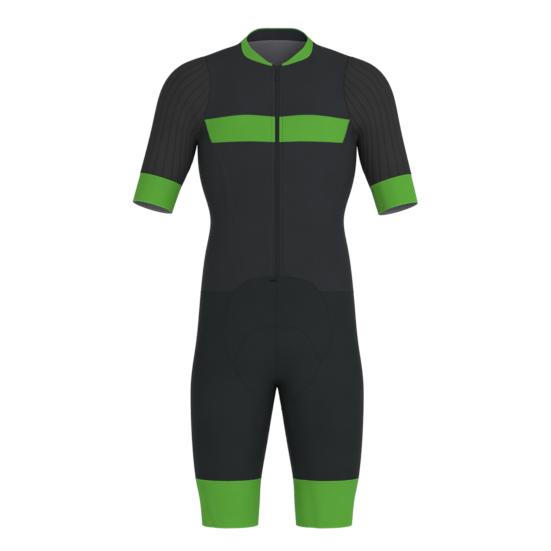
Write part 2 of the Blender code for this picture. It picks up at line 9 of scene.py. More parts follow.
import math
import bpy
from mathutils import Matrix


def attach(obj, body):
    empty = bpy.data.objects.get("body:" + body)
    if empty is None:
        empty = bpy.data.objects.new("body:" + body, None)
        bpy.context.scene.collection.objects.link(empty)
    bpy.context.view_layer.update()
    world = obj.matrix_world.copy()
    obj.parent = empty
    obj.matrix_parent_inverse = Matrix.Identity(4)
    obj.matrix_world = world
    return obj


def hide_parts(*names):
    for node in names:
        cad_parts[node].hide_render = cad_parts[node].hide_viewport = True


bl_info = {
    "name": "Cycling Skinsuit",
    "version": (1, 0, 0),
    "blender": (4, 5, 0),
    "location": "View3D > Sidebar > Skinsuit",
    "description": "Builds the cloth, zip and stitching of a hollow cycling skinsuit",
    "category": "Object",
}

from collections import namedtuple

import bmesh
import bpy
import numpy as np
from bpy.props import FloatProperty, FloatVectorProperty, IntProperty, PointerProperty
from mathutils import Matrix, Vector
from mathutils.bvhtree import BVHTree

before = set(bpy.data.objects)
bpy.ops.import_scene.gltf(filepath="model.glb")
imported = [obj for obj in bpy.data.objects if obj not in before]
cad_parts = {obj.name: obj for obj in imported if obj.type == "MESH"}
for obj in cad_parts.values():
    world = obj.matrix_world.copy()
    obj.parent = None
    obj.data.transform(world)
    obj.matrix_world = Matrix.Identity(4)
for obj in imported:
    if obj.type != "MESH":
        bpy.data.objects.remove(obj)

MM = 0.001
HALF_COLUMNS = 12           # cage columns from the middle of the front to the middle of the back
SIDE = 6                    # the column that runs down under the arm
ARMHOLE_COLUMN = 5          # counted from the middle, the column that ends at the armhole
NECK_COLUMN = 3             # and the one that ends at the side of the neck
YOKE_ROWS = 5               # cage rows from the armpit to the shoulder
FIT_ROUNDS = 5
BODY_LEVELS = 3             # how finely the body's surface is divided
SLEEVE_LEVELS = 4           # and the sleeves', which carry ribs
SNAP = 0.35                 # a corner this close to a seam, in edge lengths, moves onto it
BORDER_SNAP = 0.1           # or counts as on it, where the corner lies on another seam
MITRE = 0.4                 # a sharp corner draws in by at most 1 / MITRE times what its edges do
ROOM_SHARE = 0.75           # a rim takes up at most this share of the first row of faces
RELAX_ROUNDS = 2
ARM_BEND = 1.5              # above 1, a shift of the arm grows towards the cuff
FOLD_SLANT = 0.0103         # the pressed fold beside the zip leans outwards by this towards its foot
CREASE_STEP = 40            # a crease follows the surface in steps of about this length
BANK_AT = 2                 # the cloth beside a crease swells at this many of its widths
BANK_SHARE = 0.3            # by this share of its depth
PAST_OUTLINE = 20           # a spot past the outline is looked for this far from the middle plane
COVER_LIFT = 0.55           # the middle of a stitch over a seam lies this many threads above the cloth
BAND_LIFT = 0.75            # of a stitch on a green band
RUN_LIFT = 0.3              # and of a stitch beside the zip, which sinks in
RUN_WIDTH = 1.8             # a stitch beside the zip is this many threads wide
RUN_START = 4               # from the neckline down to the first stitch beside the zip
RUN_END = 3                 # and from the last one down to the waist seam
TEETH_START = 1.5           # from the neckline down to the zip's first tooth
TEETH_END = 2               # and from the last one down to the waist seam
TOOTH_DEPTH = 0.5           # the middle of a tooth lies this deep
TOOTH_ASIDE = 0.42          # and this share of its width to its own side
SLIDER_LIFT = 1.3           # the middle of the slider stands out this far
TACK_LIFT = 0.35            # and the middle of a stitch of the bar tack this far
TACK_SLANT = 0.1            # the bar tack's stitches lean by this, in turns to the left and the right
TACK_OVERLAP = 1.1          # and are this many times as wide as the step from one to the next
FACING = 0.9                # a face looks along an axis if its normal has more than this of it
CENTRE = 1e-5               # metres, points this near the middle plane are put on it
EPSILON = 1e-6

# Torso sections from the armpits down to the crotch: half width, and depth to the front and the
# back. square below 1 makes a section fuller than an ellipse.
Section = namedtuple("Section", "z half_width front back square")
TORSO = [
    Section(-199.5, 167.6, 112, 116, 0.86),
    Section(-255, 165.4, 109, 111, 0.86),
    Section(-310, 153.6, 103, 98, 0.86),
    Section(-365, 140.2, 96, 84, 0.88),
    Section(-425, 149.0, 97, 88, 0.88),
    Section(-490, 158.0, 99, 100, 0.86),
    Section(-555, 164.0, 100, 115, 0.86),
    Section(-620, 170.2, 98, 120, 0.86),
    Section(-685, 179.5, 92, 112, 0.86),
]

# Leg sections: the outer and the inner side, and depth to the front and the back.
Leg = namedtuple("Leg", "z outer inner front back square")
LEGS = [
    Leg(-745, 182.0, 6.3, 93, 103, 0.92),
    Leg(-828, 179.0, 19.5, 90, 84, 0.95),
    Leg(-905.7, 171.6, 32.7, 79.7, 66.2, 1.0),
    Leg(-950, 162.9, 35.8, 71, 58, 1.0),
    Leg(-1005.3, 157.3, 39.6, 63.4, 52.6, 1.0),
]
GRIPPER_ROW = 2             # the row of LEGS where the gripper band is sewn on

# The seam between the legs, from the front of the crotch to the back.
Spot = namedtuple("Spot", "x y z")
CROTCH_FRONT = Spot(0, -72, -690)
CROTCH = [Spot(0, -38, -706), Spot(0, 8, -716), Spot(0, 52, -708)]
CROTCH_BACK = Spot(0, 86, -692)

# The upper body between the armpits and the shoulders. Its lines run up the middle of the front and
# the back, up to the side of the neck, and up the armhole.
ARMPIT = [Spot(163, -36, -201), Spot(167.6, 0, -204), Spot(163, 36, -201)]
CENTRE_FRONT = [Spot(0, -109, -168), Spot(0, -101.5, -136), Spot(0, -91, -104), Spot(0, -79, -76)]
CENTRE_BACK = [Spot(0, 118.5, -155), Spot(0, 114, -110), Spot(0, 103, -66), Spot(0, 84, -25)]
ARMHOLE_FRONT = [Spot(150.5, -70, -159), Spot(140.2, -77, -116), Spot(137.2, -66, -80),
                 Spot(143.9, -42, -46.4)]
ARMHOLE_BACK = [Spot(158, 72, -160), Spot(152, 84, -120), Spot(148, 74, -82), Spot(147, 45, -48)]
BELOW_NECK_FRONT = [Spot(108, -95, -155), Spot(98, -92, -113), Spot(90, -77, -72),
                    Spot(84, -47, -32)]
BELOW_NECK_BACK = [Spot(113, 101, -155), Spot(102, 103, -110), Spot(92, 89, -66),
                   Spot(84, 56, -22)]
NECK_FRONT = [Spot(0, -66, -50), Spot(42, -55, -38.6), Spot(69.5, -31, -21)]
NECK_BACK = [Spot(0, 62, 20.5), Spot(35, 56, 19), Spot(62, 38, 14.5)]
SHOULDER = [Spot(74, 5, 11), Spot(112, 8, -5.4), Spot(151, 10, -19.5)]

# Sleeve sections: the outer and the inner point seen from the front, half the depth, the shift of the
# middle towards the back, and how much lower the back of the ring lies than its middle.
Ring = namedtuple("Ring", "outer_x outer_z inner_x inner_z half_depth shift_y drop")
SLEEVE = [
    Ring(190.5, -35.5, 169.5, -209.0, 77, 4, 0),
    Ring(224.0, -60.5, 172.3, -222.5, 66, 2, 1),
    Ring(247.0, -105.0, 177.0, -240.5, 58, 0, 2),
    Ring(263.7, -178.0, 185.5, -262.5, 52, -3, 3),
    Ring(286.6, -268.7, 199.9, -294.6, 45.7, -8.3, 4.2),
    Ring(302.1, -328.0, 219.6, -350.8, 42, -12, 6),
]
CUFF_ROW = 4                # the row of SLEEVE where the cuff is sewn on
LEFT_ARM_IN = 7.4           # the wearer's left cuff hangs this much nearer to the body
LEFT_ARM_DOWN = 3.3         # and this much lower

# Seam lines. Each gives where the seam lies at a height or at a distance from the middle.
AtHeight = namedtuple("AtHeight", "z x")
PRINCESS = [                # above the chest band it lies past the armhole, so the seam ends there
    AtHeight(100, 600), AtHeight(-120, 180), AtHeight(-158.9, 151.2), AtHeight(-185.5, 142.6),
    AtHeight(-207.7, 134.9), AtHeight(-238, 119.4), AtHeight(-275, 105.9), AtHeight(-347, 91.4),
    AtHeight(-409, 83.1), AtHeight(-454, 79), AtHeight(-520, 78),
]
INSERT_FRONT = [
    AtHeight(-484, 72), AtHeight(-500, 79), AtHeight(-513.9, 86.3), AtHeight(-532, 97.9),
    AtHeight(-563, 106.2), AtHeight(-598, 112.5), AtHeight(-631, 107.1), AtHeight(-662, 90.4),
    AtHeight(-698, 71.4), AtHeight(-726, 47.9), AtHeight(-748, 28), AtHeight(-765, 7),
    AtHeight(-800, -40),
]
INSERT_BACK = [
    AtHeight(-600, -60), AtHeight(-664, 0), AtHeight(-690, 15), AtHeight(-730, 24),
    AtHeight(-755, 15), AtHeight(-765, 7), AtHeight(-800, -40),
]
CROTCH_BLEND = 40           # half the depth over which the front line turns into the back line
AcrossFront = namedtuple("AcrossFront", "x z")
WAIST = [
    AcrossFront(0, -484.1), AcrossFront(24.6, -485.1), AcrossFront(49.2, -489.2),
    AcrossFront(65.7, -494.3), AcrossFront(78.1, -502.5), AcrossFront(86.3, -513.9),
    AcrossFront(96, -516), AcrossFront(150, -516), AcrossFront(220, -516),
]
POUCH = [
    AcrossFront(0, -585.5), AcrossFront(28.7, -586.6), AcrossFront(45.1, -591.8),
    AcrossFront(58.7, -603.3), AcrossFront(72.5, -620), AcrossFront(82, -646.1),
    AcrossFront(90.6, -662.1), AcrossFront(120, -720), AcrossFront(220, -900),
]

# The collar's upper edge, at fractions of the half neckline from the zip to the middle of the back.
Edge = namedtuple("Edge", "along x y z")
COLLAR = [
    Edge(0.0, 4.3, -65.0, -47.2), Edge(0.075, 18.2, -59.5, -40.5), Edge(0.13, 27.8, -54, -33.0),
    Edge(0.21, 41.8, -42.5, -20.3), Edge(0.30, 54, -25, -7.6), Edge(0.415, 61, -6, 5.2),
    Edge(0.54, 64.5, 12, 17.5), Edge(0.635, 60.5, 28, 27.7), Edge(0.72, 52.4, 40, 36.3),
    Edge(0.83, 37, 50, 43.5), Edge(1.0, 0, 57, 45.2),
]
COLLAR_ROWS = 6             # bands of faces up the collar
COLLAR_GRID = 8             # faces of the collar to one column or row of the knit's grid
COLLAR_TIP = 10             # the green ends this far from the middle of the zip
FACING_START = 0.02         # the facing starts this share of the height below the neckline
FACING_DROP = 0.07          # and ends this share of the height below the collar's edge

# How the sleeve's ribs leave the cage's columns, row by row: the columns by which they turn up towards
# the shoulder, and how far they spread to the inner side of the arm.
Drift = namedtuple("Drift", "row turn spread")
DRIFT = [
    Drift(0, 1.35, 1), Drift(-0.5, 0.68, 1), Drift(-1, 0.25, 1), Drift(-1.5, 0.06, 1),
    Drift(-2, 0, 1), Drift(-3, 0, 1.16), Drift(-4, 0, 1.39), Drift(-5, 0, 1.78),
]
STRAIGHT = 1.6              # ribs up to this many columns from the sleeve's outer side don't spread
TURN_FULL = 2.2             # and past this many they turn less and less
RIB_CROWN = 0.12            # share of a rib's height that is its rounded crown

# The green band printed across the chest: its upper and its lower edge.
BAND_TOP = [AcrossFront(0, -157.6), AcrossFront(4.9, -157.4), AcrossFront(68.4, -153.4),
            AcrossFront(150, -160.6), AcrossFront(220, -166)]
BAND_BOTTOM = [AcrossFront(0, -209.2), AcrossFront(4.9, -209.1), AcrossFront(55.9, -207.4),
               AcrossFront(134.9, -208.3), AcrossFront(220, -209)]

# Soft creases. Each runs from one spot of the surface to another, seen from a side, and sinks the
# cloth by depth, or raises it if depth is below zero, over width to each side.
Crease = namedtuple("Crease", "seen_from x1 z1 x2 z2 depth width")
CREASES = [
    Crease("front", -192, -134, -166, -188, 2.4, 12),
    Crease("front", -168, -184, -140, -212, 1.5, 9),
    Crease("front", -113, -255, -99, -345, -2.0, 6),
    Crease("front", -88, -400, -77, -482, 0.9, 6),
    Crease("front", -172, -168, -182, -120, 1.4, 8),
    Crease("front", -150, -182, -128, -168, 1.0, 9),
    Crease("front", 190, -128, 164, -188, 2.2, 12),
    Crease("front", 166, -184, 138, -212, 1.5, 9),
    Crease("front", 170, -168, 180, -120, 1.4, 8),
    Crease("front", 148, -182, 126, -168, 1.0, 9),
    Crease("back", -184, -142, -160, -192, 2.4, 10),
    Crease("back", -160, -190, -130, -222, 1.5, 9),
    Crease("back", -166, -160, -172, -110, 1.2, 9),
    Crease("back", 182, -142, 158, -192, 2.4, 10),
    Crease("back", 158, -190, 130, -222, 1.5, 9),
    Crease("back", 164, -160, 170, -110, 1.2, 9),
    Crease("front", -154, -922, -146, -972, 1.9, 6),
    Crease("front", -146, -972, -134, -1001, 2.2, 7),
    Crease("front", -112, -985, -108, -1001, -1.2, 7),
    Crease("front", 66, -935, 72, -1004, 1.6, 11),
    Crease("front", 84, -940, 88, -1001, -0.8, 8),
    Crease("front", 28, -742, 60, -905, 1.6, 14),
    Crease("front", -34, -760, -52, -880, 1.2, 14),
    Crease("front", 0, -668, 0, -697, 4.5, 27),
    Crease("front", 118, -372, 60, -392, 0.9, 10),
    Crease("front", 124, -398, 74, -424, 0.8, 10),
    Crease("front", -118, -376, -62, -396, 0.8, 10),
    Crease("front", -124, -402, -78, -428, 0.7, 10),
    Crease("front", 204, -288, 220, -348, 1.3, 9),
    Crease("front", 222, -284, 236, -346, 0.8, 9),
    Crease("front", -276, -276, -296, -322, 0.8, 8),
]
# These creases are on both sides of the back.
BOTH_SIDES = [
    Crease("back", 118, -350, 50, -372, 1.4, 10),
    Crease("back", 118, -386, 44, -404, 1.6, 10),
    Crease("back", 60, -706, 140, -688, 1.6, 11),
    Crease("back", 74, -728, 134, -716, 1.0, 9),
    Crease("back", 70, -930, 66, -1001, 1.2, 8),
]
CREASES += BOTH_SIDES + [fold._replace(x1=-fold.x1, x2=-fold.x2) for fold in BOTH_SIDES]

# The soft lights, placed in metres, with their power as a share of the front light's.
Lamp = namedtuple("Lamp", "name x y z width share")
LAMPS = [
    Lamp("front_light", 1.9, -3.3, 1.4, 2.6, 1.1),
    Lamp("front_fill", -1.6, -3.2, -1.3, 2.6, 0.32),
    Lamp("back_light", -1.2, 3.4, 0.6, 2.6, 1.0),
    Lamp("back_fill", 2.2, 3.0, 0.0, 2.6, 0.45),
    Lamp("left_light", 3.6, -0.6, 0.6, 2.0, 0.25),
    Lamp("right_light", -3.6, -0.6, 0.6, 2.0, 0.12),
]

# The profile of a piece's rim, from its outer side round to its inner side: how far each line of
# points draws in from the edge, and how deep it lies as a share of the wall.
Rim = namedtuple("Rim", "inset depth")
PLAIN_RIM = [Rim(0.55, 0.0), Rim(0.14, 0.12), Rim(0.0, 0.42), Rim(0.0, 0.75), Rim(0.45, 1.0)]
RAISED_RIM = [Rim(1.7, 0.0), Rim(1.2, -0.12), Rim(0.6, -0.2), Rim(0.12, -0.12), Rim(0.0, 0.05),
              Rim(0.0, 0.6), Rim(0.45, 1.0)]
CORDED_RIM = [Rim(2.3, 0.0), Rim(1.9, -0.2), Rim(1.3, -0.36), Rim(0.6, -0.3), Rim(0.1, 0.05),
              Rim(0.0, 0.6), Rim(0.45, 1.0)]

REGIONS = ("front", "back", "sleeve", "cuff", "leg", "gripper")
UPPER = {"front", "side", "back", "zip"}
SHORTS = {"fly", "gusset", "leg"}
OUTSIDE, INSIDE, TINTED, RIM = range(4)     # the material slots of a cloth piece

# The knit that each piece is cut from, the profile of its rims, and the size and area that it is cut
# to, in metres and square metres.
Cloth = namedtuple("Cloth", "knit rim width length area")
CLOTHS = {
    "front": Cloth("black_knit", RAISED_RIM, 0.15, 0.50, 0.058),
    "side": Cloth("black_knit", RAISED_RIM, 0.23, 0.38, 0.071),
    "back": Cloth("black_knit", RAISED_RIM, 0.35, 0.55, 0.136),
    "sleeve": Cloth("sleeve_rib", PLAIN_RIM, 0.41, 0.27, 0.075),
    "cuff": Cloth("green_knit", CORDED_RIM, 0.28, 0.068, 0.0175),
    "fly": Cloth("black_shorts", RAISED_RIM, 0.115, 0.18, 0.0125),
    "gusset": Cloth("black_shorts", RAISED_RIM, 0.10, 0.28, 0.0192),
    "leg": Cloth("black_shorts", RAISED_RIM, 0.56, 0.40, 0.168),
    "gripper": Cloth("green_knit", CORDED_RIM, 0.43, 0.097, 0.0404),
}

# The finishes. colour names the base colour, and shade makes it lighter or darker. A knit has so many
# wales across and courses along each square of the cloth's grid, relief is the strength of its bump,
# and blotch is how uneven its dye is. A woven tape has so many threads to the metre.
Knit = namedtuple("Knit", "colour shade roughness wales courses relief blotch")
KNITS = {
    "black_knit": Knit("black_knit", 1.0, 0.82, 30, 44, 0.28, 0.08),
    "black_folded": Knit("black_knit", 1.0, 0.82, 30, 44, 0.28, 0.08),
    "black_shorts": Knit("black_shorts", 1.0, 0.78, 34, 52, 0.22, 0.08),
    "sleeve_rib": Knit("sleeve_rib", 1.0, 0.85, 24, 40, 0.35, 0.08),
    "green_knit": Knit("green_knit", 1.0, 0.80, 34, 52, 0.22, 0.035),
    "green_folded": Knit("green_knit", 1.0, 0.80, 34, 52, 0.22, 0.035),
    # The green of the rims is 1.25 times lighter: a painted highlight along the rounded rims of the
    # cuffs, grippers and collar.
    "green_edge": Knit("green_knit", 1.25, 0.78, 34, 52, 0.2, 0.03),
    "inside": Knit("inside", 1.0, 0.9, 30, 44, 0.3, 0.08),
}
RIBBED = {"sleeve_rib"}                         # the knits with painted shade in the grooves between their ribs
FOLDED = {"black_folded", "green_folded"}       # and those with the pressed fold beside the zip, whose crest has a painted highlight
Woven = namedtuple("Woven", "colour shade roughness threads")
WOVEN = {
    "dark_facing": Woven("facing", 1.0, 0.85, 900.0),
    "zip_tape": Woven("zip", 1.0, 0.8, 1100.0),
}
Moulded = namedtuple("Moulded", "colour shade roughness specular")
MOULDED = {
    "zip_black": Moulded("zip", 1.0, 0.6, 0.08),
    "thread_black": Moulded("thread", 1.0, 0.8, 0.05),
    # The lighter thread, 2.3 times the thread's colour, is a painted highlight along the princess
    # seams' ridge.
    "thread_light": Moulded("thread", 2.3, 0.8, 0.05),
    "thread_dark": Moulded("thread", 0.5, 0.8, 0.05),
    "thread_green": Moulded("green_knit", 0.75, 0.8, 0.05),
}
ROUGHNESS_SPREAD = 0.08     # a finish is rougher or smoother by up to this with its weave and grain
CLOTH_SPECULAR = 0.02       # cloth hardly mirrors
SHADE_SPAN = 4              # noise keeps near its middle, so a knit's shades span this many blotches
FINE_SHARE = 0.6            # how strongly the finer parts of all noise show
DYE_SCALE = 14.0            # the soft unevenness of the dye, its detail, and its share in the tone
DYE_DETAIL = 3.0
DYE_SHARE = 0.55
FUZZ_SCALE = 1100.0         # the fuzz of the yarn, its share in the tone, and its height
FUZZ_SHARE = 0.45
FUZZ_HEIGHT = 0.8
WALE_SLOPE = 1.2            # the knit falls by this over a wale's width, from the middle of the wale
LOOP_HEIGHT = 0.25          # and its loops rise and fall by this along the wale
KNIT_LEVEL = 0.7            # the height of a stitch at which its tone is the dye's own: painted shade darkens it lower down
STITCH_PAINTED_SHADE = 0.1         # how strongly that painted shade darkens the low parts and lightens the tops
GROOVE_START = 0.32         # the painted shade in the groove between two ribs starts this far from a rib's middle, in ribs
GROOVE_PAINTED_SHADE = 0.42
FOLD_WIDTH = 1.9            # half the width of the pressed fold, the painted highlight that lightens its crest, and its height
FOLD_PAINTED_HIGHLIGHT = 0.55
FOLD_HEIGHT = 3.0
KNIT_BUMP = 0.25            # the height of a knit's stitches in its bump
WEAVE_PAINTED_SHADE = 0.25          # the painted shade that a tape's weave puts in its tone, and the scale of its fuzz
WEAVE_FUZZ = 900.0
WEAVE_SHADES = (0.7, 1.35)  # its darkest and its lightest shade
WEAVE_RELIEF = 0.5          # the strength of its bump, and the height that this stands for
WEAVE_BUMP = 0.15
GRAIN_SCALE = 700.0         # the grain of plastic and of waxed thread, with the same measures
GRAIN_SHADES = (0.75, 1.3)
GRAIN_RELIEF = 0.3
GRAIN_BUMP = 0.05
FLOOR_COLOUR = (0.80, 0.80, 0.80)
FLOOR_SCALE = 1.5           # the floor's faint unevenness, and its darkest and lightest shade
FLOOR_SHADES = (0.985, 1.015)
FLOOR_ROUGHNESS = 0.9
BACKDROP = 1.02             # strength of the white behind the floor, as the camera sees it


def length(name, description, default, **limits):
    return FloatProperty(name=name, description=description, default=default, subtype="DISTANCE",
                         unit="LENGTH", precision=5, **limits)


def colour(name, description, default):
    return FloatVectorProperty(name=name, description=description, default=default, size=3,
                               min=0.0, max=1.0, subtype="COLOR")


class ClothSizes(bpy.types.PropertyGroup):
    """Sizes of the cloth and its creases."""
    wall: length("Wall", "Thickness of the knit with its seam tapes", 1.5 * MM, min=1 * MM,
                 max=3 * MM)
    seam_gap: length("Seam gap", "Space between two pieces that are sewn together", 0.01 * MM)
    collar_gap: length("Collar gap", "Space between the neckline and the collar", 0.1 * MM)
    collar_bulge: length("Collar bulge", "How far the collar swells between its edges", 0.8 * MM)
    facing_wall: length("Facing wall", "Thickness of the facing inside the collar", 1.0 * MM)
    rib_height: length("Rib height", "How far the sleeve's ribs stand up", 0.9 * MM)
    rib_groove: FloatProperty(name="Rib groove", description="Half width of the groove between two "
                              "ribs, as a share of a rib", default=0.15, min=0.02, max=0.4)
    rib_run_out: FloatProperty(name="Rib run-out", description="Cage rows over which the ribs fade "
                               "at the armhole", default=0.22, min=0.01, max=1.0)
    ribs_per_column: IntProperty(name="Ribs per column", description="Ribs in one cage column of "
                                 "the sleeve", default=2, min=1, max=6)
    creasing: FloatProperty(name="Creasing", description="Strength of the soft creases", default=1.0,
                            min=0.0, max=2.0, subtype="FACTOR")


class ZipSizes(bpy.types.PropertyGroup):
    """Sizes of the zip."""
    half_gap: length("Half gap", "From the middle of the zip to each front's edge", 4.5 * MM)
    fold_x: length("Fold", "Where the pressed fold beside the zip lies across at the origin's "
                   "height", -6.8 * MM)
    tape_half_width: length("Tape half width", "Half the width of the tape behind the fronts",
                            12 * MM)
    tape_wall: length("Tape wall", "Thickness of the tape", 0.9 * MM)
    tape_clearance: length("Tape clearance", "Space between the fronts and the tape", 0.6 * MM)
    tape_end: length("Tape end", "How far below the neckline the tape starts", 1.0 * MM)
    base_wall: length("Strip wall", "Thickness of the strip under the teeth", 0.6 * MM)
    base_depth: length("Strip depth", "How deep that strip lies between the fronts", 0.35 * MM)
    tooth_pitch: length("Tooth pitch", "Distance between two teeth on one side", 1.5 * MM)
    tooth_width: length("Tooth width", "Length of one tooth across the zip", 2.5 * MM)
    slider_width: length("Slider width", "Width of the slider", 6.5 * MM)
    slider_height: length("Slider height", "Height of the slider along the zip", 10 * MM)
    slider_z: length("Slider place", "Height of the slider's middle in the row frame", -76 * MM)
    stop_width: length("Bar tack width", "Width of the bar tack at the zip's lower end", 14 * MM)
    stop_x: length("Bar tack place across", "Where the bar tack's middle lies across", -9 * MM)
    stop_z: length("Bar tack place", "Where the bar tack's middle lies in height", -492.5 * MM)
    stop_length: length("Bar tack stitch", "Length of one stitch of the bar tack", 3.6 * MM)
    stop_step: length("Bar tack step", "From one stitch of the bar tack to the next", 0.7 * MM)


class StitchSizes(bpy.types.PropertyGroup):
    """Sizes of the stitching."""
    thread: length("Thread", "Thickness of a thread", 0.36 * MM)
    cover_width: length("Cover width", "Width of the zigzag over a seam", 3.4 * MM)
    cover_step: length("Cover step", "Advance of the zigzag with each stitch", 1.55 * MM)
    run_length: length("Run length", "Length of one stitch beside the zip", 2.4 * MM)
    run_pitch: length("Run pitch", "Distance between stitches beside the zip", 3.3 * MM)
    band_offset: length("Band offset", "From a green band's sewn edge to its stitches", 1.6 * MM)
    run_offset: length("Run offset", "From the middle of the zip to the stitches", 10.6 * MM)


class SuitColours(bpy.types.PropertyGroup):
    """Base colours of the cloths."""
    black_knit: colour("Upper body", "Knit of the fronts, sides and back", (0.0198, 0.0217, 0.0238))
    black_shorts: colour("Shorts", "Knit of the shorts", (0.0150, 0.0176, 0.0183))
    sleeve_rib: colour("Sleeves", "Ribbed knit of the sleeves", (0.0252, 0.0248, 0.0254))
    green_knit: colour("Green", "Cuffs, grippers, collar and chest band", (0.0785, 0.283, 0.0322))
    inside: colour("Inside", "Inner side of the black cloths", (0.150, 0.147, 0.163))
    facing: colour("Facing", "Tape inside the collar", (0.0228, 0.0245, 0.0305))
    zip: colour("Zip", "Tape, teeth and slider", (0.0160, 0.0174, 0.0190))
    thread: colour("Thread", "Thread on black cloth", (0.0150, 0.0168, 0.0184))


class StageSizes(bpy.types.PropertyGroup):
    """The floor, the lights and the camera."""
    distance: length("Camera distance", "From the camera to the middle plane", 4.2)
    camera_x: length("Camera across", "Where the camera stands across", -0.0034)
    camera_z: length("Camera height", "The camera's height in the row frame", -0.482)
    lens: FloatProperty(name="Lens", description="Focal length in millimetres", default=130.7,
                        min=1.0, unit="CAMERA")
    floor_z: length("Floor", "Height of the floor in the row frame", -1.5)
    floor_size: length("Floor size", "Width of the floor", 6.0)
    power: FloatProperty(name="Light power", description="Power of the light at the front", min=0.0,
                         default=80.0, unit="POWER")
    sky: FloatProperty(name="Sky", description="Strength of the even light all round", default=0.72,
                       min=0.0)


def sizes(group):
    """One of the add-on's property groups in this scene."""
    return getattr(bpy.context.scene, "suit_" + group)


def point(spot):
    """A table's spot as a point in metres."""
    return Vector((spot.x, spot.y, spot.z)) * MM


def bent(value, power):
    """A sine or cosine raised to a power with its sign kept, which squares an ellipse."""
    return math.copysign(abs(value) ** power, value)


def follow(rows, key, column, at):
    """The value of a column at a key, on a smooth curve through the table's rows."""
    keys = [getattr(row, key) for row in rows]
    values = [getattr(row, column) for row in rows]
    if keys[0] > keys[-1]:
        keys.reverse()
        values.reverse()
    at = min(max(at, keys[0]), keys[-1])
    span = max(i for i in range(len(keys) - 1) if keys[i] <= at)
    slopes = []
    for i in (span, span + 1):
        before = max(i - 1, 0)
        after = min(i + 1, len(keys) - 1)
        slopes.append((values[after] - values[before]) / (keys[after] - keys[before]))
    width = keys[span + 1] - keys[span]
    t = (at - keys[span]) / width
    return ((2 * t ** 3 - 3 * t ** 2 + 1) * values[span]
            + (t ** 3 - 2 * t ** 2 + t) * width * slopes[0]
            + (3 * t ** 2 - 2 * t ** 3) * values[span + 1]
            + (t ** 3 - t ** 2) * width * slopes[1])


def smooth_step(low, high, value):
    """How far a value has come from low to high, from 0 to 1, with a soft start and end."""
    t = min(max((value - low) / (high - low), 0.0), 1.0)
    return t * t * (3 - 2 * t)


# The cage.

def torso_row(section):
    """Half a torso section, from the middle of the front round to the middle of the back."""
    row = []
    for j in range(HALF_COLUMNS + 1):
        angle = math.pi * j / HALF_COLUMNS
        depth = section.front if j <= SIDE else section.back
        row.append(Vector((section.half_width * bent(math.sin(angle), section.square),
                           -depth * bent(math.cos(angle), section.square), section.z)) * MM)
    row[0].x = row[-1].x = 0.0
    return row


def leg_row(leg, columns):
    """A leg section whose points line up with the torso's columns and then the crotch."""
    middle = (leg.outer + leg.inner) / 2
    half_width = (leg.outer - leg.inner) / 2
    row = []
    for k in range(columns):
        angle = math.pi / 2 + 2 * math.pi * (k - SIDE) / columns
        depth = leg.front if math.cos(angle) > 0 else leg.back
        row.append(Vector((middle + half_width * bent(math.sin(angle), leg.square),
                           -depth * bent(math.cos(angle), leg.square), leg.z)) * MM)
    return row


def sleeve_row(ring, columns):
    """A sleeve section that starts at the outer side and goes over the front."""
    outer = Vector((ring.outer_x, 0, ring.outer_z))
    inner = Vector((ring.inner_x, 0, ring.inner_z))
    row = []
    for m in range(columns):
        angle = 2 * math.pi * m / columns
        spot = (outer + inner) / 2 + (outer - inner) / 2 * math.cos(angle)
        spot.y = ring.shift_y - ring.half_depth * math.sin(angle)
        spot.z += ring.drop * math.sin(angle)
        row.append(spot * MM)
    return row


def patch(bottom, top, left, right):
    """The points inside four edges that share their corners, blended from all four."""
    rows = []
    for r in range(len(left)):
        v = r / (len(left) - 1)
        row = []
        for c in range(len(bottom)):
            u = c / (len(bottom) - 1)
            corners = ((bottom[0] * (1 - u) + bottom[-1] * u) * (1 - v)
                       + (top[0] * (1 - u) + top[-1] * u) * v)
            row.append(bottom[c] * (1 - v) + top[c] * v + left[r] * (1 - u) + right[r] * u
                       - corners)
        rows.append(row)
    return rows


def relaxed(rows):
    """The same points, with those inside the edges drawn halfway to the middle of their neighbours."""
    for _ in range(RELAX_ROUNDS):
        before = [row[:] for row in rows]
        for r in range(1, len(rows) - 1):
            for c in range(1, len(rows[0]) - 1):
                around = before[r - 1][c] + before[r + 1][c] + before[r][c - 1] + before[r][c + 1]
                rows[r][c] = (before[r][c] + around / 4) / 2
    return rows


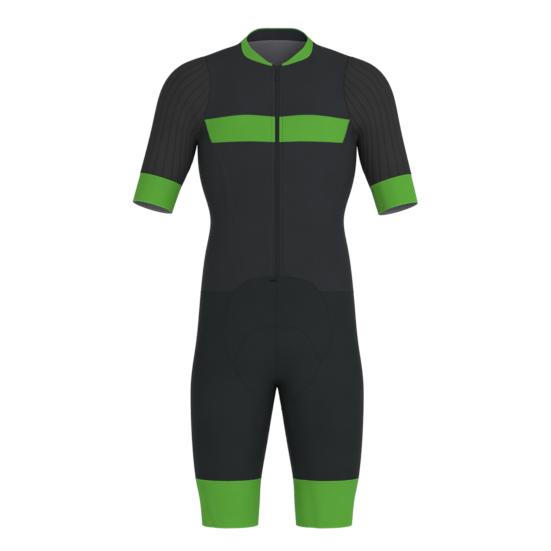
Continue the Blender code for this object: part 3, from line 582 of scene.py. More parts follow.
def half_cage():
    """The cage of the wearer's left half, with each face's region as its material index.

    The layer reach is how far along the sleeve a vertex lies, from 0 at the armhole to 1 at the cuff.
    The layer grid counts columns and rows of the cage, which patterns on the cloth follow.
    """
    bm = bmesh.new()
    reach = bm.verts.layers.float.new("reach")
    grid = bm.loops.layers.uv.new("grid")

    def row_of(points):
        return [bm.verts.new(p) for p in points]

    def face(corners, region, spots):
        new_face = bm.faces.new(corners)
        new_face.material_index = REGIONS.index(region)
        for loop, spot in zip(new_face.loops, spots):
            loop[grid].uv = spot

    def bands(upper, lower, region_at, row, closed=False):
        count = len(upper) if closed else len(upper) - 1
        for j in range(count):
            k = (j + 1) % len(upper)
            face((upper[j], lower[j], lower[k], upper[k]), region_at(j),
                 ((j, row), (j, row - 1), (j + 1, row - 1), (j + 1, row)))

    torso_points = [torso_row(section) for section in TORSO]
    for offset, spot in enumerate(ARMPIT):
        torso_points[0][ARMHOLE_COLUMN + offset] = point(spot)
    torso_points[-1][0] = point(CROTCH_FRONT)
    torso_points[-1][-1] = point(CROTCH_BACK)
    torso = [row_of(points) for points in torso_points]
    for number, (upper, lower) in enumerate(zip(torso, torso[1:])):
        bands(upper, lower, lambda j: "front" if j < SIDE else "back", -number)

    above = row_of([point(spot) for spot in SHOULDER])
    neck_front = row_of([point(spot) for spot in NECK_FRONT])
    neck_back = row_of([point(spot) for spot in NECK_BACK])
    armhole = {}
    for region, neck, centre, below_neck, edge, low in (
            ("front", neck_front, CENTRE_FRONT, BELOW_NECK_FRONT, ARMHOLE_FRONT,
             torso[0][:ARMHOLE_COLUMN + 1]),
            ("back", neck_back, CENTRE_BACK, BELOW_NECK_BACK, ARMHOLE_BACK, torso[0][:SIDE:-1])):
        top = neck + above
        lines = [[low[column].co] + [point(spot) for spot in line] + [top[column].co]
                 for column, line in ((0, centre), (NECK_COLUMN, below_neck), (ARMHOLE_COLUMN, edge))]
        ends = [v.co for v in low], [v.co for v in top]
        inner = patch(*(end[:NECK_COLUMN + 1] for end in ends), *lines[:2])
        outer = patch(*(end[NECK_COLUMN:] for end in ends), *lines[1:])
        points = relaxed([near[:-1] + far for near, far in zip(inner, outer)])
        rows = [low] + [row_of(points[r]) for r in range(1, YOKE_ROWS)] + [top]
        for r, (lower, upper) in enumerate(zip(rows, rows[1:])):
            for c in range(ARMHOLE_COLUMN):
                corners = (upper[c], lower[c], lower[c + 1], upper[c + 1])
                spots = ((c, r + 1), (c, r), (c + 1, r), (c + 1, r + 1))
                if region == "back":
                    corners, spots = corners[::-1], spots[::-1]
                face(corners, region, spots)
        armhole[region] = [rows[r][-1] for r in range(1, YOKE_ROWS)]

    ring = [above[-1]] + armhole["front"][::-1] + torso[0][ARMHOLE_COLUMN:SIDE + 2] + armhole["back"]
    for number, section in enumerate(SLEEVE):
        following = row_of(sleeve_row(section, len(ring)))
        for vertex in following:
            vertex[reach] = (number + 1) / len(SLEEVE)
        bands(ring, following, lambda j: "cuff" if number > CUFF_ROW else "sleeve", -number,
              closed=True)
        ring = following

    ring = torso[-1] + row_of([point(spot) for spot in CROTCH[::-1]])
    for number, section in enumerate(LEGS):
        following = row_of(leg_row(section, len(ring)))
        bands(ring, following, lambda j: "gripper" if number > GRIPPER_ROW else "leg",
              -len(TORSO) - number, closed=True)
        ring = following
    return bm


def evaluated_mesh(obj):
    """A copy of the object's mesh with its modifiers applied."""
    bpy.context.view_layer.update()
    graph = bpy.context.evaluated_depsgraph_get()
    return bpy.data.meshes.new_from_object(obj.evaluated_get(graph))


def fitted_cage():
    """The whole suit's cage, moved so that its smooth surface passes through every section."""
    bm = half_cage()
    bmesh.ops.mirror(bm, geom=bm.verts[:] + bm.edges[:] + bm.faces[:], axis="X",
                     merge_dist=EPSILON)
    reach = bm.verts.layers.float["reach"]
    for vertex in bm.verts:
        if vertex.co.x > 0:
            vertex.co.x -= LEFT_ARM_IN * MM * vertex[reach] ** ARM_BEND
            vertex.co.z -= LEFT_ARM_DOWN * MM * vertex[reach] ** ARM_BEND
    bmesh.ops.recalc_face_normals(bm, faces=bm.faces[:])
    mesh = bpy.data.meshes.new("cage")
    bm.to_mesh(mesh)
    bm.free()
    targets = [v.co.copy() for v in mesh.vertices]
    cage = bpy.data.objects.new("cage", mesh)
    bpy.context.scene.collection.objects.link(cage)
    smoother = cage.modifiers.new("smooth", "SUBSURF")
    smoother.levels = smoother.render_levels = 1
    smoother.use_limit_surface = True
    smoother.uv_smooth = "NONE"
    for _ in range(FIT_ROUNDS):
        smooth = evaluated_mesh(cage)
        for vertex, target in zip(mesh.vertices, targets):
            vertex.co += target - smooth.vertices[vertex.index].co
        bpy.data.meshes.remove(smooth)
        mesh.update()
    return cage


def smooth_surface(cage, levels):
    """The cage's smooth surface as a bmesh."""
    cage.modifiers["smooth"].levels = cage.modifiers["smooth"].render_levels = levels
    smooth = evaluated_mesh(cage)
    surface = bmesh.new()
    surface.from_mesh(smooth)
    bpy.data.meshes.remove(smooth)
    surface.faces.layers.int.new("tint")
    for vertex in surface.verts:
        if abs(vertex.co.x) < CENTRE:
            vertex.co.x = 0.0
    surface.normal_update()
    return surface


def met_from(tree, seen_from, x, z, past_outline=False):
    """The point where the surface is met at x and z, seen from the front or the back, and its normal.

    A spot that may lie past the outline is put on the nearest cloth.
    """
    side = -1.0 if seen_from == "front" else 1.0
    spot, normal, _, _ = tree.ray_cast(Vector((x, side, z)), Vector((0, -side, 0)))
    if spot is None and past_outline:
        spot, normal, _, _ = tree.find_nearest(Vector((x, side * PAST_OUTLINE * MM, z)))
    if spot is None:
        raise RuntimeError(f"no cloth at x {x:.3f}, z {z:.3f}, seen from the {seen_from}")
    return spot, normal


def crease(surface, tree, strength):
    """Sinks and raises the surface along the creases."""
    places = np.array([v.co for v in surface.verts])
    normals = np.array([v.normal for v in surface.verts])
    move = np.zeros(len(places))
    for fold in CREASES:
        steps = max(round(math.hypot(fold.x2 - fold.x1, fold.z2 - fold.z1) / CREASE_STEP), 1)
        path = []
        for i in range(steps + 1):
            x = (fold.x1 + (fold.x2 - fold.x1) * i / steps) * MM
            z = (fold.z1 + (fold.z2 - fold.z1) * i / steps) * MM
            path.append(np.array(met_from(tree, fold.seen_from, x, z, past_outline=True)[0]))
        away = np.full(len(places), np.inf)
        for a, b in zip(path, path[1:]):
            along = b - a
            t = np.clip((places - a) @ along / (along @ along), 0, 1)
            away = np.minimum(away, np.linalg.norm(places - a - t[:, None] * along, axis=1))
        away /= fold.width * MM
        profile = np.exp(-away ** 2) - BANK_SHARE * np.exp(-(away - BANK_AT) ** 2)
        move -= fold.depth * MM * strength * profile
    for vertex, place, normal, by in zip(surface.verts, places, normals, move):
        if abs(by) > EPSILON:
            vertex.co = Vector(place + normal * by)
    surface.normal_update()


# Seams, as functions that are zero on the seam.

def beside_zip(p):
    return abs(p.x) - sizes("zip").half_gap


def below_waist(p):
    height = follow(WAIST, "x", "z", abs(p.x) / MM) if p.y < 0 else WAIST[-1].z
    return height * MM - p.z


def outside_princess(p):
    return abs(p.x) - follow(PRINCESS, "z", "x", p.z / MM) * MM


def outside_insert(p):
    front = follow(INSERT_FRONT, "z", "x", p.z / MM)
    back = follow(INSERT_BACK, "z", "x", p.z / MM)
    share = smooth_step(-CROTCH_BLEND, CROTCH_BLEND, p.y / MM)
    return abs(p.x) - (front + (back - front) * share) * MM


def below_pouch_seam(p):
    return follow(POUCH, "x", "z", abs(p.x) / MM) * MM - p.z


def below_band_top(p):
    return follow(BAND_TOP, "x", "z", abs(p.x) / MM) * MM - p.z


def below_band_bottom(p):
    return follow(BAND_BOTTOM, "x", "z", abs(p.x) / MM) * MM - p.z


def seam_ends(face, value):
    """The face's corners where the seam enters and leaves it, if it crosses the face."""
    corners = face.verts[:]
    count = len(corners)
    signs = [0 if value[v] == 0 else math.copysign(1, value[v]) for v in corners]
    ends = []
    for i, sign in enumerate(signs):
        if sign != 0:
            continue
        before = next((s for s in (signs[i - k] for k in range(1, count)) if s), 0)
        following = next((s for s in (signs[(i + k) % count] for k in range(1, count)) if s), 0)
        if before * following < 0 and signs[i - 1] != 0:
            ends.append(corners[i])
    return ends


def cut(faces, seam):
    """Parts the faces along a seam, and gives those before it and those past it.

    A corner close to the seam moves onto it, so that the seam runs clean and leaves no slivers.
    """
    faces = list(faces)
    own = set(faces)
    value = {v: seam(v.co) for f in faces for v in f.verts}
    edges = list(dict.fromkeys(e for f in faces for e in f.edges))
    moves = {}
    for edge in edges:
        a, b = edge.verts
        if value[a] * value[b] < 0:
            t = value[a] / (value[a] - value[b])
            near = a if t < 0.5 else b
            inside = not near.is_boundary and all(f in own for f in near.link_faces)
            if min(t, 1 - t) < (SNAP if inside else BORDER_SNAP):
                spot = a.co.lerp(b.co, t)
                step = (spot - near.co).length
                if near not in moves or step < moves[near][0]:
                    moves[near] = (step, spot)
    for vertex, (_, spot) in moves.items():
        if not vertex.is_boundary and all(f in own for f in vertex.link_faces):
            vertex.co = spot
        value[vertex] = 0.0
    for edge in edges:
        a, b = edge.verts
        if value[a] * value[b] < 0:
            t = value[a] / (value[a] - value[b])
            _, middle = bmesh.utils.edge_split(edge, a, t)
            value[middle] = 0.0
    near, far = [], []
    for face in faces:
        ends = seam_ends(face, value)
        halves = [face]
        if len(ends) == 2:
            halves.append(bmesh.utils.face_split(face, ends[0], ends[1])[0])
        for half in halves:
            total = sum(value[v] for v in half.verts) or seam(half.calc_center_median())
            (far if total > 0 else near).append(half)
    return near, far


def by_region(faces, *regions):
    """The faces that lie in any of the regions."""
    wanted = {REGIONS.index(region) for region in regions}
    return [f for f in faces if f.material_index in wanted]


def by_side(faces):
    """The faces of the wearer's left half and right half, with the word for each."""
    left = [f for f in faces if f.calc_center_median().x > 0]
    right = [f for f in faces if f.calc_center_median().x < 0]
    return (("left", left), ("right", right))


def cut_pieces(surface):
    """Parts the surface along every seam, and gives the faces of each piece by its name."""
    upper, lower = cut(by_region(surface.faces, "front", "back"), below_waist)
    front, front_sides = cut(by_region(upper, "front"), outside_princess)
    back, back_sides = cut(by_region(upper, "back"), outside_princess)
    strip, front = cut(front, beside_zip)
    insert, legs = cut(lower + by_region(surface.faces, "leg"), outside_insert)
    fly, gusset = cut(insert, below_pouch_seam)
    above, below = cut(front, below_band_top)
    band, under = cut(below, below_band_bottom)
    tint = surface.faces.layers.int["tint"]
    for face in band:
        face[tint] = 1
    surface.normal_update()
    pieces = {"back": back, "zip": strip}
    for name, faces in (("front", above + band + under), ("side", front_sides + back_sides),
                        ("fly", fly), ("gusset", gusset), ("leg", legs),
                        ("cuff", by_region(surface.faces, "cuff")),
                        ("gripper", by_region(surface.faces, "gripper"))):
        for word, own in by_side(faces):
            pieces[name + "_" + word] = own
    return pieces


built = {}


def suit():
    """The suit's surfaces and the faces of each piece, made once for all operators."""
    if not built:
        cage = fitted_cage()
        body = smooth_surface(cage, BODY_LEVELS)
        sleeves = smooth_surface(cage, SLEEVE_LEVELS)
        bpy.data.meshes.remove(cage.data)
        plain = BVHTree.FromBMesh(body)
        for surface in (body, sleeves):
            crease(surface, plain, sizes("cloth").creasing)
        built["tree"] = BVHTree.FromBMesh(body)
        built["pieces"] = cut_pieces(body)
        for word, own in by_side(by_region(sleeves.faces, "sleeve")):
            built["pieces"]["sleeve_" + word] = own
        built["body"] = body
        built["sleeves"] = sleeves
    return built


# Walls.

def edge_shift(edge, face):
    """The direction from the seam's own plane, which halves the fold at the edge, towards the face."""
    a, b = edge.verts
    across = (a.normal + b.normal).cross(b.co - a.co).normalized()
    inward = face.calc_center_median() - (a.co + b.co) / 2
    return across if across.dot(inward) > 0 else -across


def drawn_in(faces, only_seams):
    """How each vertex on a piece's edge moves to draw the edge in by one unit."""
    own = set(faces)
    pulls = {}
    for face in faces:
        for edge in face.edges:
            mine = sum(f in own for f in edge.link_faces)
            if mine == 1 and (len(edge.link_faces) == 2 or not only_seams):
                for vertex in edge.verts:
                    pulls.setdefault(vertex, []).append(edge_shift(edge, face))
    shifts = {}
    for vertex, directions in pulls.items():
        total = sum(directions, Vector())
        if total.length > EPSILON:
            unit = total.normalized()
            shifts[vertex] = unit / max(min(unit.dot(d) for d in directions), MITRE)
    return shifts


def rim_room(faces, edges):
    """How far each vertex on a piece's edge may draw in before it reaches the next vertices."""
    room = {vertex: math.inf for vertex in edges}
    for face in faces:
        ends = [v for v in face.verts if v in edges]
        for vertex in face.verts:
            if vertex in edges or not ends:
                continue
            for end in ends:
                room[end] = min(room[end], (vertex.co - end.co).length)
            for edge in face.edges:
                a, b = edge.verts
                if a in edges and b in edges:
                    across = (vertex.co - a.co).cross((b.co - a.co).normalized()).length
                    room[a], room[b] = min(room[a], across), min(room[b], across)
    return room


def add_object(name, bm, materials, nodes=()):
    """A smooth-shaded piece that rides on the suit, from a bmesh and its materials."""
    mesh = bpy.data.meshes.new(name)
    bm.to_mesh(mesh)
    bm.free()
    for material in materials:
        mesh.materials.append(material)
    mesh.shade_smooth()
    obj = bpy.data.objects.new(name, mesh)
    bpy.context.scene.collection.objects.link(obj)
    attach(obj, "root")
    if nodes:
        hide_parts(*nodes)
    return obj


def wall(name, faces, surface, materials, rim, thickness, gap, lift=0.0, reshape=None, relief=None,
         steer=None, nodes=(), slot=None):
    """A closed wall with rounded rims, made from faces of a surface.

    Its outer side is lifted and may carry a relief, and its inner side is plain.
    """
    grid = surface.loops.layers.uv["grid"]
    tint = surface.faces.layers.int["tint"]
    steer = steer or (lambda spots: [spot.copy() for spot in spots])
    seams = drawn_in(faces, only_seams=True)
    edges = drawn_in(faces, only_seams=False)
    room = rim_room(faces, edges)
    spots = {}
    for face in faces:
        for loop, spot in zip(face.loops, steer([loop[grid].uv for loop in face.loops])):
            spots.setdefault(loop.vert, spot)
    bm = bmesh.new()
    pattern = bm.loops.layers.uv.new("grid")
    rings, outer, inner = {}, {}, {}
    for vertex in spots:
        base = vertex.co + seams.get(vertex, Vector()) * gap / 2
        if reshape:
            base = reshape(base)
        height = lift + (relief(spots[vertex]) if relief else 0.0)
        if vertex in edges:
            ring = []
            widest = max(rim[0].inset * MM * edges[vertex].length, EPSILON)
            inward = edges[vertex] * min(1.0, ROOM_SHARE * room[vertex] / widest)
            for number, (inset, depth) in enumerate(rim):
                fade = 1 - number / (len(rim) - 1)
                up = lift + (height - lift) * fade - depth * thickness
                ring.append(bm.verts.new(base + inward * inset * MM + vertex.normal * up))
            rings[vertex] = ring
            outer[vertex], inner[vertex] = ring[0], ring[-1]
        else:
            outer[vertex] = bm.verts.new(base + vertex.normal * height)
            inner[vertex] = bm.verts.new(base + vertex.normal * (lift - thickness))

    def face_of(corners, uvs, index):
        new_face = bm.faces.new(corners)
        new_face.material_index = index
        for loop, uv in zip(new_face.loops, uvs):
            loop[pattern].uv = uv

    own = set(faces)
    for face in faces:
        uvs = steer([loop[grid].uv for loop in face.loops])
        corners = [loop.vert for loop in face.loops]
        outside = TINTED if face[tint] else OUTSIDE
        face_of([outer[v] for v in corners], uvs, outside)
        face_of([inner[v] for v in reversed(corners)], uvs[::-1], INSIDE)
        for i, loop in enumerate(face.loops):
            if sum(f in own for f in loop.edge.link_faces) > 1:
                continue
            a, b = corners[i], corners[(i + 1) % len(corners)]
            uv_a, uv_b = uvs[i], uvs[(i + 1) % len(corners)]
            for upper, lower in zip(range(len(rim) - 1), range(1, len(rim))):
                index = (TINTED if face[tint] else RIM) if lower < len(rim) - 1 else INSIDE
                face_of((rings[b][upper], rings[a][upper], rings[a][lower], rings[b][lower]),
                        (uv_b, uv_a, uv_a, uv_b), index)
    return add_object(name, bm, materials, nodes)


def steered(spots):
    """The corners of a face on the sleeve's grid, moved so that the ribs leave the cage's columns."""
    back = sum(spot.x for spot in spots) / len(spots) > HALF_COLUMNS / 2
    moved = []
    for spot in spots:
        across = HALF_COLUMNS - spot.x if back else spot.x
        turn, spread = (follow(DRIFT, "row", column, spot.y) for column in ("turn", "spread"))
        turn *= smooth_step(0, 1, across) * (1 - smooth_step(TURN_FULL, HALF_COLUMNS / 2, across))
        if across > STRAIGHT:
            across = STRAIGHT + (across - STRAIGHT) / spread
        across += turn
        moved.append(Vector((HALF_COLUMNS - across if back else across, spot.y)))
    return moved


def ribs(spot):
    """The height of the sleeve's relief at a spot of the cage: broad ribs with narrow grooves."""
    cloth = sizes("cloth")
    across = (spot.x * cloth.ribs_per_column) % 1.0
    groove = min(across, 1 - across) / cloth.rib_groove
    crown = RIB_CROWN * math.sin(math.pi * across)
    return (cloth.rib_height * (1 - math.exp(-groove ** 2)) * (1 - RIB_CROWN + crown)
            * smooth_step(0.0, cloth.rib_run_out, -spot.y))


def add_cloth(name):
    """One cut piece of cloth, with its wall and its finish."""
    kind = name.split("_")[0]
    cut_from = CLOTHS[kind]
    cloth = sizes("cloth")
    source = suit()
    surface = source["sleeves"] if kind == "sleeve" else source["body"]
    # The wearer's right front carries the pressed fold beside the zip, with a painted highlight on its
    # crest.
    outside = "black_folded" if name == "front_right" else cut_from.knit
    tinted = {"front_left": "green_knit", "front_right": "green_folded"}.get(name, outside)
    # Cuffs and grippers get the lighter green on their rims, a painted highlight.
    edge = "green_edge" if kind in ("cuff", "gripper") else outside
    materials = [finish(outside), finish("inside"), finish(tinted), finish(edge)]
    piece = wall(name + "_cloth", source["pieces"][name], surface, materials, cut_from.rim,
                 cloth.wall, cloth.seam_gap, relief=ribs if kind == "sleeve" else None,
                 steer=steered if kind == "sleeve" else None, nodes=(name,), slot=cut_from.knit)
    return piece


# Small parts, modelled once with Blender's own tools and copied.

def deselect():
    """Leaves edit mode and selects nothing."""
    if bpy.context.object and bpy.context.object.mode != "OBJECT":
        bpy.ops.object.mode_set(mode="OBJECT")
    bpy.ops.object.select_all(action="DESELECT")


def editing(obj):
    """Opens an object for editing with nothing selected, and gives its bmesh."""
    deselect()
    obj.select_set(True)
    bpy.context.view_layer.objects.active = obj
    bpy.ops.object.mode_set(mode="EDIT")
    bpy.ops.mesh.select_mode(type="FACE")
    bpy.ops.mesh.select_all(action="DESELECT")
    return bmesh.from_edit_mesh(obj.data)


def select_faces(obj, test):
    """Selects the faces whose middle and direction pass a test."""
    bm = bmesh.from_edit_mesh(obj.data)
    for face in bm.faces:
        face.select_set(bool(test(face.calc_center_median(), face.normal)))
    bm.select_flush_mode()
    bmesh.update_edit_mesh(obj.data)


def taken(obj):
    """The mesh of a finished template, whose object is removed."""
    deselect()
    mesh = obj.data
    bpy.data.objects.remove(obj)
    return mesh


def thread_template():
    """One stitch of unit length along X: a round thread whose ends dip and draw in."""
    straight, end = 0.62, 0.19
    dip, drawn_to = 0.32, 0.55
    deselect()
    bpy.ops.mesh.primitive_cylinder_add(vertices=5, radius=0.5, depth=straight,
                                        end_fill_type="NGON", rotation=(0, math.pi / 2, 0))
    obj = bpy.context.object
    bpy.ops.object.transform_apply(rotation=True)
    for side in (-1, 1):
        editing(obj)
        select_faces(obj, lambda middle, normal: normal.x * side > FACING)
        bpy.ops.mesh.extrude_region_move(TRANSFORM_OT_translate={"value": (side * end, 0, -dip)})
        bpy.ops.transform.resize(value=(1, drawn_to, drawn_to))
    return taken(obj)


def tooth_template(width, pitch):
    """One zip tooth: a low rounded bar with a wider head at its inner end, which lies at +X."""
    bar, head = width * 0.7, width * 0.3
    thickness, height = 0.8 * MM, pitch * 0.5
    head_thicker, head_taller = 1.1, 1.35
    rounding = 0.18 * MM
    deselect()
    bpy.ops.mesh.primitive_cube_add(size=1.0)
    obj = bpy.context.object
    obj.scale = (bar, thickness, height)
    bpy.ops.object.transform_apply(scale=True)
    editing(obj)
    select_faces(obj, lambda middle, normal: normal.x > FACING)
    bpy.ops.mesh.extrude_region_move(TRANSFORM_OT_translate={"value": (head, 0, 0)})
    bpy.ops.transform.resize(value=(1, head_thicker, head_taller))
    bpy.ops.mesh.select_all(action="SELECT")
    bpy.ops.mesh.bevel(offset=rounding, segments=1, affect="EDGES")
    return taken(obj)


def slider_template(width, height):
    """The zip's slider: a body that narrows downwards, with cheeks and a low bridge on its front."""
    depth = 2.2 * MM
    foot_width, foot_depth = 0.72, 0.85
    bridge_reach, bridge_gap, bridge_rise = width * 0.2, height * 0.12, 0.9 * MM
    bridge_top_width, bridge_top_height = 0.8, 0.9
    cheek_start, cheek_rim, cheek_rise = width * 0.3, 0.25 * MM, 0.2 * MM
    rounding = 0.35 * MM
    deselect()
    bpy.ops.mesh.primitive_cube_add(size=1.0)
    obj = bpy.context.object
    obj.scale = (width, depth, height)
    bpy.ops.object.transform_apply(scale=True)
    editing(obj)
    bpy.ops.mesh.select_all(action="SELECT")
    bpy.ops.mesh.subdivide(number_cuts=3)
    select_faces(obj, lambda middle, normal: normal.z < -FACING)
    bpy.ops.transform.resize(value=(foot_width, foot_depth, 1), center_override=(0, 0, -height / 2))
    select_faces(obj, lambda middle, normal: normal.y < -FACING and abs(middle.x) < bridge_reach
                 and abs(middle.z) > bridge_gap)
    bpy.ops.mesh.extrude_region_move(TRANSFORM_OT_translate={"value": (0, -bridge_rise, 0)})
    bpy.ops.transform.resize(value=(bridge_top_width, 1, bridge_top_height))
    select_faces(obj, lambda middle, normal: normal.y < -FACING and abs(middle.x) > cheek_start)
    bpy.ops.mesh.inset(thickness=cheek_rim, depth=cheek_rise)
    deselect()
    obj.select_set(True)
    softener = obj.modifiers.new("soften", "BEVEL")
    softener.width = rounding
    softener.segments = 2
    softener.limit_method = "ANGLE"
    bpy.ops.object.modifier_apply(modifier=softener.name)
    return taken(obj)


def copies(name, template, places, materials, nodes=()):
    """One piece that holds a copy of the template at each place, given as a matrix."""
    if not places:
        raise RuntimeError(f"{name} has nowhere to go")
    points = np.array([v.co for v in template.vertices])
    faces = [tuple(p.vertices) for p in template.polygons]
    stacked = np.array([np.array(m) for m in places])
    moved = np.einsum("mij,pj->mpi", stacked[:, :3, :3], points) + stacked[:, None, :3, 3]
    count = len(points)
    mesh = bpy.data.meshes.new(name)
    mesh.from_pydata(moved.reshape(-1, 3).tolist(), [],
                     [tuple(i + k * count for i in face)
                      for k in range(len(places)) for face in faces])
    mesh.update()
    bm = bmesh.new()
    bm.from_mesh(mesh)
    bpy.data.meshes.remove(mesh)
    return add_object(name, bm, materials, nodes)


def placed(middle, along, normal, size):
    """A matrix that puts a template's X along a direction and its Z out of the cloth."""
    z = normal.normalized()
    x = (along - z * along.dot(z)).normalized()
    y = z.cross(x)
    turn = Matrix((x, y, z)).transposed().to_4x4()
    return Matrix.Translation(middle) @ turn @ Matrix.Diagonal((*size, 1.0))


# Stitching.

def seam_edges(wanted):
    """The edges between two pieces whose kinds are wanted.

    Faces of the body's surface that no piece owns are the sleeves', which are cut from the finer one.
    """
    source = suit()
    owner = {}
    for name, faces in source["pieces"].items():
        if not name.startswith("sleeve"):
            for face in faces:
                owner[face] = name
    found = []
    for edge in source["body"].edges:
        if len(edge.link_faces) == 2:
            names = [owner.get(face, "sleeve_x") for face in edge.link_faces]
            if names[0] != names[1] and wanted({name.split("_")[0] for name in names}):
                found.append(edge)
    return found


def lines_of(edges):
    """The edges joined end to end, as lists of vertices."""
    at = {}
    for edge in edges:
        for vertex in edge.verts:
            at.setdefault(vertex, []).append(edge)
    left = set(edges)
    lines = []

    def walk(vertex):
        line = [vertex]
        while True:
            following = next((e for e in at[line[-1]] if e in left), None)
            if following is None:
                return line
            left.discard(following)
            line.append(following.other_vert(line[-1]))
            if len(at[line[-1]]) != 2:
                return line

    starts = sorted((v for v in at if len(at[v]) != 2), key=lambda v: v.index)
    for vertex in starts:
        while any(e in left for e in at[vertex]):
            lines.append(walk(vertex))
    for edge in edges:
        if edge in left:
            lines.append(walk(edge.verts[0]))
    return lines


def stepped(line, step):
    """Points at even steps along a line of vertices, each with its direction and its normal."""
    spots, carry = [], 0.0
    for a, b in zip(line, line[1:]):
        span = (b.co - a.co).length
        at = carry
        while at < span:
            t = at / span
            spots.append((a.co.lerp(b.co, t), (b.co - a.co).normalized(),
                          a.normal.lerp(b.normal, t).normalized()))
            at += step
        carry = at - span
    return spots


def cover_stitches(lines):
    """The places of the zigzag stitches that cover a seam."""
    size = sizes("stitch")
    places = []
    for line in lines:
        spots = stepped(line, size.cover_step)
        for number, (here, there) in enumerate(zip(spots, spots[1:])):
            side = 1 if number % 2 else -1
            across = here[1].cross(here[2]) * size.cover_width / 2 * side
            start = here[0] + across
            end = there[0] - across
            normal = here[2]
            middle = (start + end) / 2 + normal * size.thread * COVER_LIFT
            places.append(placed(middle, end - start, normal,
                                 ((end - start).length, size.thread, size.thread)))
    return places


def band_stitches(kind):
    """The places of the straight stitches along a green band's sewn edge."""
    size = sizes("stitch")
    source = suit()
    places = []
    for line in lines_of(seam_edges(lambda pair: kind in pair)):
        middle = sum((v.co for v in line), Vector()) / len(line)
        word = "left" if middle.x > 0 else "right"
        band = source["pieces"][f"{kind}_{word}"]
        down = sum((f.calc_center_median() for f in band), Vector()) / len(band) - middle
        for spot, along, normal in stepped(line, size.run_pitch):
            across = normal.cross(along)
            across *= math.copysign(size.band_offset, across.dot(down))
            places.append(placed(spot + across + normal * size.thread * BAND_LIFT, along, normal,
                                 (size.run_length, size.thread, size.thread)))
    return places


def run_stitches():
    """The places of the stitches down both sides of the zip."""
    size = sizes("stitch")
    tree = suit()["tree"]
    places = []
    for side in (-1, 1):
        z = (NECK_FRONT[0].z - RUN_START) * MM
        while z > (WAIST[0].z + RUN_END) * MM:
            spot, normal = met_from(tree, "front", side * size.run_offset, z)
            below, _ = met_from(tree, "front", side * size.run_offset, z - size.run_pitch)
            places.append(placed(spot + normal * size.thread * RUN_LIFT, below - spot, normal,
                                 (size.run_length, size.thread * RUN_WIDTH, size.thread)))
            z -= size.run_pitch
    return places


# Finishes.

def new_finish(name, roughness, specular=CLOTH_SPECULAR):
    """An empty procedural finish: its material, its shader, its tree and a maker of linked nodes."""
    material = bpy.data.materials.new(name)
    material.use_nodes = True
    tree = material.node_tree
    shader = tree.nodes["Principled BSDF"]
    shader.inputs["Roughness"].default_value = roughness
    shader.inputs["Specular IOR Level"].default_value = specular

    def node(kind, settings=None, **inputs):
        made_node = tree.nodes.new(kind)
        for key, value in (settings or {}).items():
            setattr(made_node, key, value)
        for key, value in inputs.items():
            socket = made_node.inputs[int(key[1:]) if key[0] == "_" else key.replace("_", " ")]
            if isinstance(value, bpy.types.NodeSocket):
                tree.links.new(value, socket)
            else:
                socket.default_value = value
        return made_node

    return material, shader, tree, node


def maths(node, operation, *values):
    """The result of a sum on values or sockets."""
    return node("ShaderNodeMath", {"operation": operation},
                **{f"_{i}": value for i, value in enumerate(values)}).outputs[0]


def knit_height(node, wales, courses):
    """The height of a knit, rows of V-shaped stitches that follow the cloth's grid, and its place."""
    grid = node("ShaderNodeUVMap", {"uv_map": "grid"}).outputs["UV"]
    spot = node("ShaderNodeSeparateXYZ", Vector=grid)
    across = maths(node, "MULTIPLY", spot.outputs["X"], wales)
    along = maths(node, "MULTIPLY", spot.outputs["Y"], courses)
    off = maths(node, "ABSOLUTE", maths(node, "SUBTRACT", maths(node, "FRACT", across), 0.5))
    wale = maths(node, "SUBTRACT", 1.0, maths(node, "MULTIPLY", off, WALE_SLOPE))
    loop = maths(node, "SINE", maths(node, "MULTIPLY", maths(node, "ADD", along, off), 2 * math.pi))
    return maths(node, "ADD", maths(node, "MULTIPLY", loop, LOOP_HEIGHT), wale), spot


def shaded(node, base, factor, low, high):
    """A colour that runs from low to high times the base as the factor goes from 0 to 1."""
    ramp = node("ShaderNodeValToRGB", Fac=factor)
    for element, share in zip(ramp.color_ramp.elements, (low, high)):
        element.color = (*(min(c * share, 1.0) for c in base), 1.0)
    return ramp.outputs["Color"]


def roughen(node, tree, shader, factor, roughness):
    """Lets the roughness rise and fall around its value as the factor goes from 0 to 1."""
    spread = node("ShaderNodeMapRange", Value=factor, From_Min=0.0, From_Max=1.0,
                  To_Min=roughness - ROUGHNESS_SPREAD, To_Max=roughness + ROUGHNESS_SPREAD)
    tree.links.new(spread.outputs["Result"], shader.inputs["Roughness"])


def fibre(node, scale, detail=2.0):
    """Noise as fine as its scale, from 0 to 1."""
    place = node("ShaderNodeTexCoord").outputs["Object"]
    return node("ShaderNodeTexNoise", Vector=place, Scale=scale, Detail=detail,
                Roughness=FINE_SHARE).outputs["Fac"]


def softly(node, value, start, end, first, last):
    """A value that goes softly from first to last as another goes from start to end."""
    return node("ShaderNodeMapRange", {"interpolation_type": "SMOOTHSTEP"}, Value=value,
                From_Min=start, From_Max=end, To_Min=first, To_Max=last).outputs["Result"]


def base_colour(row):
    """The colour that a row of the finishes names, made lighter or darker by its shade."""
    return [min(c * row.shade, 1.0) for c in getattr(sizes("colours"), row.colour)]


